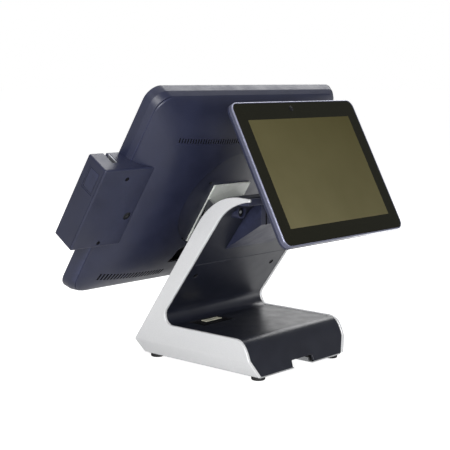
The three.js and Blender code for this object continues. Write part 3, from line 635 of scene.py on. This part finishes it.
def base_cover():
    line = [along_arm(SEAM_Z)] + customer[straight_arm:]
    span = (-STAND_HALF, STAND_HALF)
    cover = band("base_cover_skin", line, -COVER_INSET, -COVER_INSET - WALL, span, STAND, CHARCOAL)
    combine(cover, [between_panels()], "INTERSECT")
    low, high = NOTCH_X
    corners = [(low, 0), (high, 0), (high - NOTCH_DRAFT, NOTCH_TOP), (low + NOTCH_DRAFT, NOTCH_TOP)]
    notch = prism("notch", corners, "Y", (80, 120), STAND, CHARCOAL)
    surface = BASE_TOP - COVER_INSET
    # Painted shade on the well's floor and walls.
    well = block(WELL_X, WELL_Y, (surface - WELL_DEPTH, surface + 5), STAND, PAINTED_SHADE)
    combine(cover, [notch, well, *arm_screw_holes()], separate=True)
    return soften(cover, 0.7, 3)


belongs(base_cover(), "stand", "charcoal_plastic", "base_cover")

past_nose = next(i for i, p in enumerate(customer) if p[0] < BRACKET_FRONT + 4)
under_arm = customer[past_nose:straight_arm]
inner_line = under_arm + [along_arm(SEAM_Z + 0.5)]


def arm_inner_cover():
    span = (-COVER_HALF, COVER_HALF)
    cover = band("arm_inner_skin", inner_line, -COVER_INSET, -COVER_INSET - WALL, span, STAND, CHARCOAL)
    tip = block((-STAND_HALF, STAND_HALF), (NOSE_Y[0] - 0.4, 100), (190, 240), STAND, CHARCOAL)
    # Painted shade on the faces of the arm's way and of each bore.
    arm_way = block((-41, 41), (34, 62), (196.5, 211.5), STAND, PAINTED_SHADE)
    combine(cover, [tip, arm_way], separate=True)
    for _, side in SIDES:
        at = (side * BOSS_X, BOSS_Z)
        combine(cover, [rod(at, BOSS_R, "Y", BOSS_Y, STAND, NAVY, 48)], "UNION")
        seat = rod(at, BORE_R, "Y", (BOSS_SEAT, BOSS_Y[1] + 12), STAND, NAVY, 40)
        bore = rod(at, BOLT_R + 0.4, "Y", (30, 60), STAND, PAINTED_SHADE)
        combine(cover, [seat, bore], separate=True)
    return soften(cover, 0.5, 2)


belongs(arm_inner_cover(), "stand", "charcoal_plastic", "arm_inner_cover")


def arm_nose():
    back, front = NOSE_Y
    outline = [
        (back, 217.2),
        (front - 0.8, 218),
        (front, 226.6),
        (front - 2.4, 226.9),
        (front - 2.4, 224.6),
        (back, 225.2),
    ]
    return soften(prism("nose", outline, "X", (-COVER_HALF, COVER_HALF), STAND, NAVY), 0.6)


belongs(arm_nose(), "stand", "navy_plastic", "arm_nose")


def stand_rear_cover():
    line = operator[:-1] + [(88, 227.3)]
    span = (-STAND_HALF, STAND_HALF)
    cover = band("rear_skin", line, REAR_PROUD, REAR_PROUD - WALL, span, STAND, CHARCOAL)
    combine(cover, [between_panels()], "INTERSECT")
    # Painted shade in the hinge window and the bolt holes.
    window_x = (-HINGE_WINDOW_HALF, HINGE_WINDOW_HALF)
    combine(cover, [block(window_x, (-6, 6), HINGE_WINDOW_Z, ARM, PAINTED_SHADE)])
    for _, side in SIDES:
        at = (side * BOSS_X, BOSS_Z)
        combine(cover, [rod(at, REAR_BOSS_R, "Y", (BOLT_END - 1, 36), STAND, CHARCOAL)], "UNION")
        combine(cover, [rod(at, BOLT_R + GAP, "Y", (BOLT_END - 0.5, 40), STAND, PAINTED_SHADE)])
    return soften(cover, 0.7, 3)


belongs(stand_rear_cover(), "stand", "charcoal_plastic", "stand_rear_cover")

PAD_PROFILE = [(0, 7.2), (0.15, 7.9), (0.6, 8.6), (1.4, 9), (3.7, 9), (4.2, 8.7), (4.4, 8.1)]
FOOT_PROFILE = PAD_PROFILE + [(4.4, 4), (9.5, 4)]
for end in ("front", "rear"):
    for name, side in SIDES:
        node = f"foot_{end}_{name}"
        centre = middle(node) / MM
        foot = lathe(f"pad_{end}_{name}", FOOT_PROFILE, "Z", centre.xy, Matrix.Identity(4), RUBBER)
        belongs(soften(foot, 0), "stand", "rubber", node)


DOME = ((2.2, 1), (0.9, 1), (0.45, 0.93), (0.15, 0.72), (0, 0.4))
CROSS_HALF, CROSS_REACH, CROSS_DEPTH = 0.35, 0.6, 0.9


def cross_head(name, centre, r, out, place, body, *nodes):
    """A pan-head screw seen end on: a domed head with a cross recess, facing local +Y at the depth out."""
    profile = [(out - depth, r * share) for depth, share in DOME]
    screw = lathe(name, profile, "Y", centre, place, BLACK_STEEL)
    x, z = centre
    reach = r * CROSS_REACH
    cut = (out - CROSS_DEPTH, out + 1)
    # Painted shade in the cross recess.
    upright = block((x - CROSS_HALF, x + CROSS_HALF), cut, (z - reach, z + reach), place, PAINTED_SHADE)
    level = block((x - reach, x + reach), cut, (z - CROSS_HALF, z + CROSS_HALF), place, PAINTED_SHADE)
    combine(screw, [upright, level], separate=True)
    belongs(soften(screw, 0), body, "steel", *nodes)


for name, side in SIDES:
    at = (side * ARM_SCREW[0], ARM_SCREW[1])
    cross_head(f"arm_screw_{name}", at, ARM_SCREW_R, ARM_FACE - 0.6, ARM, "stand", f"cover_screw_{name}")


def port_plate():
    low, high = (Vector(corner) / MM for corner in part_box("port_plate"))
    spans = [(low[k], high[k]) for k in range(3)]
    plate_piece = block(*spans, Matrix.Identity(4), CREAM, "blank_plate")
    return soften(plate_piece, 0.35, 3)


belongs(port_plate(), "stand", "cream_plastic", "port_plate")

# ---------- Bracket of the customer display ----------


def bracket_housing():
    """A hollow wedge cut to the arm's inner side, with a groove and a lower strip at each front edge."""
    outline = [(2, 147.6), (BRACKET_FRONT, 189), (BRACKET_FRONT, 230), (2, 230)]
    inner = [(-6, 146.3), (BRACKET_FRONT - 3, 190.7), (BRACKET_FRONT - 3, 235), (-6, 235)]
    shell = prism("wedge", outline, "X", (-BRACKET_HALF, BRACKET_HALF), STAND, NAVY)
    # Painted shade where the arm, the space above, the hollow, the arm's way and the grooves are cut.
    arm_body = band("arm", inner_line, -COVER_INSET + GAP, -60, (-60, 60), STAND, PAINTED_SHADE)
    above = block((-60, 60), (-10, 80), (BRACKET_TOP, 240), STAND, PAINTED_SHADE)
    hollow = prism("hollow", inner, "X", (-BRACKET_HALF + WALL, BRACKET_HALF - WALL), STAND, PAINTED_SHADE)
    arm_way = block((-31, 31), (60, 80), (198, 212), STAND, PAINTED_SHADE)
    combine(shell, [arm_body, above, hollow, arm_way], separate=True)
    grooves = []
    for _, side in SIDES:
        for span, depth, finish in ((GROOVE_X, GROOVE_DEPTH, PAINTED_SHADE), (STRIP_X, STRIP_DEPTH, NAVY)):
            cut_y = (BRACKET_FRONT - depth, BRACKET_FRONT + 5)
            grooves.append(block(on_side(side, *span), cut_y, (180, 225), STAND, finish))
    combine(shell, grooves, separate=True)
    return soften(shell, 0.6, 3)


belongs(bracket_housing(), "stand", "navy_plastic", "bracket_housing")

for name, side in SIDES:
    at = (side * BOSS_X, BOSS_Z)
    seat = BOSS_SEAT + GAP
    cap = seat + BOLT_HEAD
    shank = [(BOLT_END, BOLT_R), (seat, BOLT_R)]
    cap_steps = [(0, -0.2), (0.3, 0), (BOLT_HEAD - 0.5, 0), (BOLT_HEAD, -0.6)]
    profile = shank + [(seat + along, BOLT_HEAD_R + ease) for along, ease in cap_steps]
    bolt = lathe(f"socket_bolt_{name}", profile, "Y", at, STAND, BLACK_STEEL)
    # Painted highlight: the socket's faces take bright steel instead of the bolt's black, for a bright dot
    # at its centre.
    socket = rod(at, SOCKET_R, "Y", (cap - 2, cap + 1), STAND, STEEL, 6)
    combine(bolt, [socket])
    belongs(soften(bolt, 0), "stand", "steel", f"bracket_bolt_{name}")

# ---------- Head: rear cover ----------


def falling(t, power, steep):
    """From 1 in the middle to 0 at the edge."""
    return max(1 - min(t, 1) ** power, 0) ** steep


def pillow(x, z):
    """Height of the rear cover over its rim."""
    height = falling(abs(x) / COVER_HW, *FALL_X) * falling(abs(z) / COVER_HH, *FALL_Z)
    corner = (abs(x) - (COVER_HW - COVER_R), abs(z) - (COVER_HH - COVER_R))
    if min(corner) > 0:
        inset = max(COVER_R - math.hypot(*corner), 0)
        height = min(height, falling((COVER_HW - inset) / COVER_HW, *FALL_X))
    return COVER_LIFT * height


COVER_INSETS = [0, 0.4, 1, 1.8, 3, 4.6, 6.8, 9.5, 13, 17, 22, 28, 35, 43, 52, 62, 74, 88, 104, 122, 140, 150]


def cover_form(margin, floor, ceiling=math.inf, material=NAVY):
    """The rear cover's outside as a solid, grown by a margin, from a flat floor up to a ceiling."""
    rings = []
    shrink_x, shrink_z = COVER_HW / (COVER_HW + margin), COVER_HH / (COVER_HH + margin)
    for inset in COVER_INSETS:
        hw, hh = COVER_HW + margin - inset, COVER_HH + margin - inset
        ring = rounded_rect(hw, hh, min(COVER_R + inset * 0.1, hh - 0.5), wide=20, tall=16)
        heights = (COVER_Y + margin + pillow(x * shrink_x, z * shrink_z) for x, z in ring)
        rings.append([(x, min(y, ceiling), z) for (x, z), y in zip(ring, heights)])
    rings.insert(0, [(x, floor, z) for x, _, z in rings[0]])
    return loft("cover_form", rings, HEAD, material)


UPPER_VENT_HALF, UPPER_VENT_Z, UPPER_VENT_COUNT = 131, (99.5, 106), 62
LOWER_VENT_X, LOWER_VENT_Z, LOWER_VENT_COUNT = (44, 150), (-130, -117), 21
UPPER_SLOT, LOWER_SLOT = 1.8, 2.8


def vent_slots():
    slots = []
    for i in range(UPPER_VENT_COUNT):
        x = -UPPER_VENT_HALF + i * 2 * UPPER_VENT_HALF / (UPPER_VENT_COUNT - 1)
        slots.append(block((x - UPPER_SLOT / 2, x + UPPER_SLOT / 2), (20, 60), UPPER_VENT_Z, HEAD, PAINTED_SHADE))
    first, last = LOWER_VENT_X
    for _, side in SIDES:
        for i in range(LOWER_VENT_COUNT):
            x = first + i * (last - first) / (LOWER_VENT_COUNT - 1)
            span = on_side(side, x - LOWER_SLOT / 2, x + LOWER_SLOT / 2)
            slots.append(block(span, (14, 60), LOWER_VENT_Z, HEAD, PAINTED_SHADE))
    return slots


def bay_outline():
    """The connector bay: its sides lean in, and its upper corners are cut off."""
    low, high = BAY_Z
    right = [(BAY_HALF, low), (BAY_HALF - 4, high - 10), (BAY_HALF - 16, high)]
    return [(-BAY_HALF, low)] + right + [(-x, z) for x, z in reversed(right[1:])]


def rear_cover():
    cover = cover_form(0, COVER_Y)
    cover.name = "rear_shell"
    # Painted shade on the inside of the shell, seen through the vents, and in the bay and the slots.
    hollow = cover_form(-COVER_WALL, COVER_Y - 5, DISH_FLOOR - COVER_WALL, PAINTED_SHADE)
    dish = rod((0, DISH_Z), DISH_R, "Y", (DISH_FLOOR, 80), HEAD, NAVY, 96)
    bay = prism("bay", bay_outline(), "Y", (30, 70), HEAD, PAINTED_SHADE)
    combine(cover, [hollow, dish, bay, merged(vent_slots())], separate=True)
    return soften(cover, 0, angle=30)


belongs(rear_cover(), "head", "navy_plastic", "rear_cover")


def vent_rib():
    """The thin raised rib under the upper vents."""
    section = ((-0.8, -0.5), (0.25, -0.5), (0.25, 0.5), (-0.8, 0.5))
    rings = []
    for i in range(41):
        x = RIB_HALF * (i / 20 - 1)
        y = COVER_Y + pillow(x, RIB_Z)
        rings.append([(x, y + dy, RIB_Z + dz) for dy, dz in section])
    return loft("vent_rib", rings, HEAD, NAVY)


belongs(soften(vent_rib(), 0.2, 2), "head", "navy_plastic")

PLATE_SCREWS = [(x, z) for x in (-44.5, 44.5) for z in (36.7, -58.5)]
for i, centre in enumerate(PLATE_SCREWS):
    cross_head(f"plate_screw_{i + 1}", centre, 2.4, DISH_FLOOR + 0.5, HEAD, "head")

# ---------- Head: front housing and screen ----------


def bezel_form(margin):
    """The front housing's outside: an eased front edge, a straight band and a band turned in behind it."""
    side, top = BEZEL_SIDE, BEZEL_TOP
    steps = (
        (1.9, 1.9, -margin),
        (1.2, 1.2, 0.12),
        (0.55, 0.55, 0.5),
        (0.12, 0.12, 1.2),
        (0, 0, 2.0),
        (BEZEL_RIM_SIDE - 0.2, BEZEL_RIM_TOP - 0.15, BEZEL_RIM - 0.6),
        (BEZEL_RIM_SIDE + 0.15, BEZEL_RIM_TOP + 0.15, BEZEL_RIM + 0.2),
        (side - 0.35, top - 0.2, BEZEL_BACK - 0.8),
        (side + 0.4, top + 0.4, BEZEL_BACK + margin),
    )
    rings = []
    for inset_x, inset_z, y in steps:
        rings.append(ring_at(y, HEAD_HW - inset_x + margin, HEAD_HH - inset_z + margin, HEAD_R, 14))
    return loft("bezel_form", rings, HEAD, NAVY)


def front_bezel():
    bezel = bezel_form(0)
    bezel.name = "front_frame"
    inside = rounded_rect(HEAD_HW - BEZEL_SIDE - 2.8, HEAD_HH - BEZEL_TOP - 2.8, 18)
    # Painted shade inside the frame and in the button's hole.
    hollow = prism("hollow", inside, "Y", (2.8, BEZEL_BACK + 5), HEAD, PAINTED_SHADE)
    around_glass = rounded_rect(GLASS_HW + GAP, GLASS_HH + GAP, GLASS_R)
    opening = prism("opening", around_glass, "Y", (-5, 8), HEAD, NAVY)
    hole = rod((BUTTON_X, BUTTON_Z), BUTTON_R + 0.4, "Y", (-5, 8), HEAD, PAINTED_SHADE, 40)
    combine(bezel, [hollow, opening, hole], separate=True)
    return soften(bezel, 0.3, 2)


belongs(front_bezel(), "head", "navy_plastic", "front_bezel")


def glass_plate(name, hw, hh, r, front, back, material, place):
    """A flat sheet with its front edge eased; front and back are along local Y."""
    step = math.copysign(0.35, back - front)
    rings = []
    for inset, y in ((0.35, front), (0.1, front + step * 0.35), (0, front + step), (0, back)):
        rings.append(ring_at(y, hw - inset, hh - inset, r, 10))
    return soften(loft(name, rings, place, material), 0)


belongs(
    glass_plate("touch_sheet", GLASS_HW, GLASS_HH, GLASS_R, 0.5, 3.3, TOUCH_FACE, HEAD),
    "head",
    "screen_glass",
    "touch_glass",
)

BUTTON_FACE = [(-0.8, 3.4), (-0.72, 4.2), (-0.45, 4.75), (0, BUTTON_R)]
BUTTON_COLLAR = [(3.2, 5), (3.2, 6.6), (4.4, 6.6), (4.4, 5), (5.2, 5)]
button = lathe("power_cap", BUTTON_FACE + BUTTON_COLLAR, "Y", (BUTTON_X, BUTTON_Z), HEAD, BLACK, 48)
belongs(soften(button, 0.15, 2), "power_button", "black_plastic", "power_button")

# ---------- Head: hinge channel ----------
CHANNEL_HALF, CHANNEL_PLATE, CHANNEL_Z = 36, 2.5, (-62, 33)
FLANGE_THICK, FLANGE_TOP, FLANGE_FOOT = 4, 11, 20
TILT_AXIS, EAR_R, PIN_R = (74, -19), 9, 5
NOTCH_DEPTH, NOTCH_Y, NOTCH_Z = 5, (4, 8), (-16, -5)


def hull(name, corners, place, material):
    """The convex solid round some points."""
    bm = bmesh.new()
    for corner in corners:
        bm.verts.new(Vector(corner) * MM)
    result = bmesh.ops.convex_hull(bm, input=bm.verts)
    unused = result["geom_interior"] + result["geom_unused"]
    spare = {g for g in unused if isinstance(g, bmesh.types.BMVert)}
    bmesh.ops.delete(bm, geom=list(spare), context="VERTS")
    bmesh.ops.dissolve_limit(bm, angle_limit=0.01, verts=bm.verts, edges=bm.edges)
    bmesh.ops.recalc_face_normals(bm, faces=bm.faces)
    return mesh_object(name, finished(name, bm), place, material)


def hinge_channel():
    """The zinc channel on the cover: a plate with a flange down each side that carries the shaft."""
    low = DISH_FLOOR + GAP
    plate_x, plate_y = (-CHANNEL_HALF, CHANNEL_HALF), (low, low + CHANNEL_PLATE)
    channel = block(plate_x, plate_y, CHANNEL_Z, HEAD, ZINC, "hinge_channel")
    root = [(low + 1, TILT_AXIS[1] - FLANGE_FOOT), (low + 1, FLANGE_TOP + 1), (low + 15, FLANGE_TOP)]
    for _, side in SIDES:
        span = on_side(side, CHANNEL_HALF - FLANGE_THICK, CHANNEL_HALF)
        outline = root + circle(TILT_AXIS, EAR_R, 32)
        corners = [(x, y, z) for y, z in outline for x in span]
        combine(channel, [hull("flange", corners, HEAD, STEEL)], "UNION")
        # Painted shade in the shaft's bore and the notch.
        bore = rod(TILT_AXIS, PIN_R + GAP, "X", (span[0] - 1, span[1] + 1), HEAD, PAINTED_SHADE)
        notch_x = on_side(side, CHANNEL_HALF - NOTCH_DEPTH, CHANNEL_HALF + 1)
        notch = block(notch_x, (low + NOTCH_Y[0], low + NOTCH_Y[1]), NOTCH_Z, HEAD, PAINTED_SHADE)
        combine(channel, [bore, notch], separate=True)
    return soften(channel, 0.6, 3)


belongs(hinge_channel(), "head", "zinc_casting", "head_hinge_bracket")

# ---------- Head: card reader ----------


def reader_form(name, steps):
    """The reader's outline as a solid through (inset, y) steps."""
    middle_x, middle_z = sum(READER_X) / 2, sum(READER_Z) / 2
    half_x, half_z = (READER_X[1] - READER_X[0]) / 2, (READER_Z[1] - READER_Z[0]) / 2
    rings = []
    for inset, y in steps:
        ring = ring_at(y, half_x - inset, half_z - inset, 2, 6)
        rings.append([(x + middle_x, y, z + middle_z) for x, y, z in ring])
    return loft(name, rings, HEAD, NAVY)


def reader_housing():
    front, back = READER_Y[0], READER_Y[1] - READER_BACK - GAP
    steps = ((1.2, front), (0.5, front + 0.2), (0.1, front + 0.7), (0, front + 1.2), (0, back))
    body = reader_form("reader_case", steps)
    face = READER_X[1]
    slot_x, depth = CARD_SLOT_X, CARD_SLOT_DEPTH
    seat_y, seat_z = ((low - PANE_SEAT, high + PANE_SEAT) for low, high in (PANE_Y, PANE_Z))
    case = [bezel_form(READER_CLEAR), cover_form(READER_CLEAR, 0)]
    slot = block(slot_x, (front - 1, depth), (-70, 70), HEAD, NAVY)
    guide_seat = block((slot_x[0] - 3.5, slot_x[0] + 1), (4, depth), (-70, 70), HEAD, NAVY)
    # Painted shade in the hollow, the read window, the pane's gap and the port.
    hollow = block((184, 226), (24.5, back + 1), (-56, 56), HEAD, PAINTED_SHADE)
    read_window = block((slot_x[1] - 1, 221), (6, 16), (-8, 8), HEAD, PAINTED_SHADE)
    pane_seat = block((face - 0.5, face + 1), seat_y, seat_z, HEAD, NAVY)
    pane_hole = block((face - 1.5, face + 1), PANE_Y, PANE_Z, HEAD, PAINTED_SHADE)
    port = rod(READER_PORT, READER_PORT_R, "Y", (back - 0.4, back + 1), HEAD, PAINTED_SHADE, 40)
    holes = [slot, guide_seat, hollow, read_window, pane_seat, pane_hole, port]
    combine(body, case + holes, separate=True)
    return soften(body, 0.35, 2)


def reader_back_plate():
    back = READER_Y[1]
    depths = ((0.2, READER_BACK), (0, 2.2), (0, 1.6), (0.15, 1), (0.5, 0.5), (1, 0.2), (1.6, 0), (2.2, 0))
    steps = [(inset, back - depth) for inset, depth in depths]
    lid = reader_form("reader_lid", steps)
    through = (30, 40)
    # Painted shade in the screw holes, the port and the notch.
    holes = [rod(centre, 3, "Y", through, HEAD, PAINTED_SHADE) for centre in READER_SCREWS]
    port = rod(READER_PORT, READER_PORT_R, "Y", through, HEAD, PAINTED_SHADE, 40)
    left, bottom = READER_X[0], READER_Z[0]
    notch = block((left + 2, left + 8), through, (bottom - 1, bottom + 3), HEAD, PAINTED_SHADE)
    combine(lid, [cover_form(READER_CLEAR, 0), port, notch, *holes], separate=True)
    return soften(lid, 0)


belongs(reader_housing(), "head", "navy_plastic", "reader_housing")
belongs(reader_back_plate(), "head", "navy_plastic", "reader_back_plate")
for i, centre in enumerate(READER_SCREWS):
    name, node = f"lid_screw_{i + 1}", f"reader_screw_{i + 1}"
    cross_head(name, centre, 2.6, READER_Y[1] - 0.6, HEAD, "head", node)
jack_profile = [(34.2, 5.4), (35.2, 5.4), (35.4, 5.1), (35.4, 3.4), (34.7, 3.1), (34.7, 1)]
jack = lathe("reader_jack", jack_profile, "Y", READER_PORT, HEAD, BLACK)
belongs(soften(jack, 0), "head", "black_plastic")
guide_x = (CARD_SLOT_X[0] - 2.6, CARD_SLOT_X[0] - 0.2)
guide = block(guide_x, (4.3, CARD_SLOT_DEPTH - GAP), READER_Z, HEAD, SLOT_METAL, "slot_liner")
belongs(soften(guide, 0.2, 2), "head", "steel", "reader_slot_guide")
pane_spans = [(low + GAP, high - GAP) for low, high in (PANE_Y, PANE_Z)]
window_pane = block((READER_X[1] - 1.2, READER_X[1] - 0.4), *pane_spans, HEAD, NAVY, "reader_pane")
belongs(soften(window_pane, 0.2, 2), "head", "black_plastic", "reader_window")

# ---------- Customer display ----------


def display_form(name, plate_steps, box_steps, r, material):
    """A solid through (inset, y) steps of the display's outline, then of the hinge box behind it."""
    rings = [ring_at(y, DISPLAY_HW - inset, DISPLAY_HH - inset, r, 10) for inset, y in plate_steps]
    rings += [ring_at(y, BOX_HW - inset, BOX_HH - inset, r, 10) for inset, y in box_steps]
    return loft(name, rings, DISPLAY, material)


def display_housing():
    plate_steps = ((0, -6.3), (0, -8.2), (0.4, -9.2), (1.6, -10.3), (5, -12.4))
    box_steps = ((-1.5, -15.8), (0, -16.6), (2.9, -29), (4.5, -30.3))
    housing = display_form("display_back", plate_steps, box_steps, DISPLAY_R, NAVY)
    # Painted shade on the inside of the housing.
    inside = display_form("inside", ((2.4, 0), (2.4, -9)), ((2.5, -13), (6, -28)), DISPLAY_R - 2, PAINTED_SHADE)
    combine(housing, [inside])
    return soften(housing, 0.3, 2, 50)


def display_rim():
    """A frame round the glass; its rounded lip, except where it looks down, takes a lighter copy of the
    rim's paint, a painted highlight.
    """
    steps = ((0.15, -6), (0, -5.7), (0, -1.6), (0.12, -0.9), (0.5, -0.25), (1.0, 0))
    rim = display_form("display_frame", steps, (), DISPLAY_R, RIM)
    outline = rounded_rect(DGLASS_HW + GAP, DGLASS_HH + GAP, DGLASS_R, 10)
    combine(rim, [prism("opening", outline, "Y", (-9, 9), DISPLAY, RIM)])
    soften(rim, 0)
    rim.data.materials.append(RIM_HIGHLIGHT)
    highlight_slot = rim.data.materials.find(RIM_HIGHLIGHT.name)
    # Painted highlight: lip faces that don't look down take the lighter finish.
    for face in rim.data.polygons:
        lip = face.center.y > LIP_Y * MM and abs(face.normal.y) > 0.05
        if lip and face.normal.z > -0.3:
            face.material_index = highlight_slot
    return rim


belongs(display_housing(), "display", "navy_plastic", "display_housing")
belongs(display_rim(), "display", "bright_rim", "display_rim")
sheet_size = (DGLASS_HW, DGLASS_HH, DGLASS_R)
display_sheet = glass_plate("display_sheet", *sheet_size, -0.4, -2.4, DISPLAY_FACE, DISPLAY)
belongs(display_sheet, "display", "screen_glass", "display_glass")
LENS_PROFILE = [(-0.35, 3.4), (0.1, 3.4), (0.2, 3.2), (0.2, 2.4), (-0.1, 2.1), (-0.2, 0.9)]
lens = lathe("lens", LENS_PROFILE, "Y", (12, 83.5), DISPLAY, LENS, 48)
belongs(soften(lens, 0), "display", "black_plastic", "camera_lens")

# ---------- Finishes and eased edges of the CAD nodes that stay ----------
KEPT = {
    STEEL: (
        "base_plate",
        "stand_frame",
        "arm_hinge_bracket",
        "support_arm",
        "tilt_shaft",
        "tilt_nut_left",
        "tilt_nut_right",
        "panel_chassis",
        "connector_panel",
        "display_mount",
        "display_shaft",
        "display_nut_left",
        "display_nut_right",
    ),
    ZINC: ("heat_sink", "read_head"),
    BOARD: ("power_switch", "mainboard", "reader_board", "display_board"),
    BLACK: (
        "tilt_friction_washer_left",
        "tilt_friction_washer_right",
        "display_washer_left",
        "display_washer_right",
        "storage_drive",
        "speaker",
        "lcd_panel",
        "display_lcd",
    ),
}
for material, names in KEPT.items():
    for name in names:
        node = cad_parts[name]
        for material_slot in node.material_slots:
            material_slot.material = material
        eased = node.modifiers.new("edges", "BEVEL")
        eased.width = 0.25 * MM
        eased.segments = 2
        eased.limit_method = "ANGLE"
        eased.angle_limit = math.radians(35)

# ---------- Floor and light ----------
SKY, SKY_SEEN = 0.25, 1.0
FLOOR_GLOW, FLOOR_GLOSS = 0.85, 0.4
FLOOR_DROP = 0.1


def floor():
    """A pale floor that is clear from below, so that it doesn't hide the underside."""
    bm = bmesh.new()
    bmesh.ops.create_grid(bm, x_segments=1, y_segments=1, size=30)
    pale = Nodes("floor", (0.6, 0.6, 0.6), 0.9, specular=0.1)
    pale.color(pale.mix(pale.spread(pale.noise(400), 0, 1), (0.59, 0.59, 0.59), (0.61, 0.61, 0.61)))
    pale.shader.inputs["Emission Color"].default_value = (1, 1, 1, 1)
    rays = pale.add("ShaderNodeLightPath")
    to_camera = pale.math("MULTIPLY", rays.outputs["Is Camera Ray"], FLOOR_GLOW)
    to_gloss = pale.math("MULTIPLY", rays.outputs["Is Glossy Ray"], FLOOR_GLOSS)
    pale.link(pale.math("ADD", to_camera, to_gloss), pale.shader.inputs["Emission Strength"])
    one_sided = pale.add("ShaderNodeMixShader")
    pale.link(pale.add("ShaderNodeNewGeometry").outputs["Backfacing"], one_sided.inputs[0])
    pale.link(pale.shader.outputs[0], one_sided.inputs[1])
    pale.link(pale.add("ShaderNodeBsdfTransparent").outputs[0], one_sided.inputs[2])
    pale.link(one_sided.outputs[0], pale.tree.nodes["Material Output"].inputs["Surface"])
    just_below = Matrix.Translation((0, 0, -FLOOR_DROP * MM))
    return mesh_object("floor", finished("floor", bm), just_below, pale.material)


floor()


AIM = (0, 0, 0.18)


def softbox(name, at, size, power, aim=AIM):
    data = bpy.data.lights.new(name, "AREA")
    data.shape = "RECTANGLE"
    data.size, data.size_y = size
    data.energy = power
    light = bpy.data.objects.new(name, data)
    scene.collection.objects.link(light)
    light.location = at
    light.rotation_mode = "QUATERNION"
    light.rotation_quaternion = (Vector(aim) - Vector(at)).to_track_quat("-Z", "Y")


softbox("key", (-1.25, -0.45, 1.35), (1.0, 1.0), 15)
softbox("back", (-1.25, -1.15, 0.4), (1.0, 0.6), 2)
softbox("right", (1.45, 1.15, 0.6), (1.0, 0.8), 26)
softbox("front", (0.6, 1.6, 0.25), (1.2, 0.5), 8)
softbox("top", (0.1, 0.0, 2.2), (2.0, 2.0), 16)
softbox("low", (-0.33, 0.06, 0.005), (0.14, 0.3), 0.4, aim=(-0.1, 0.05, 0.2))


def studio():
    """A white world that lights the object less than it shows."""
    world = bpy.data.worlds.new("studio")
    world.use_nodes = True
    nodes, links = world.node_tree.nodes, world.node_tree.links
    chosen = nodes.new("ShaderNodeMixShader")
    links.new(nodes.new("ShaderNodeLightPath").outputs["Is Camera Ray"], chosen.inputs[0])
    skies = (nodes["Background"], nodes.new("ShaderNodeBackground"))
    for sky, strength, socket in zip(skies, (SKY, SKY_SEEN), chosen.inputs[1:]):
        sky.inputs["Color"].default_value = (1, 1, 1, 1)
        sky.inputs["Strength"].default_value = strength
        links.new(sky.outputs[0], socket)
    links.new(chosen.outputs[0], nodes["World Output"].inputs["Surface"])
    return world


scene.world = studio()
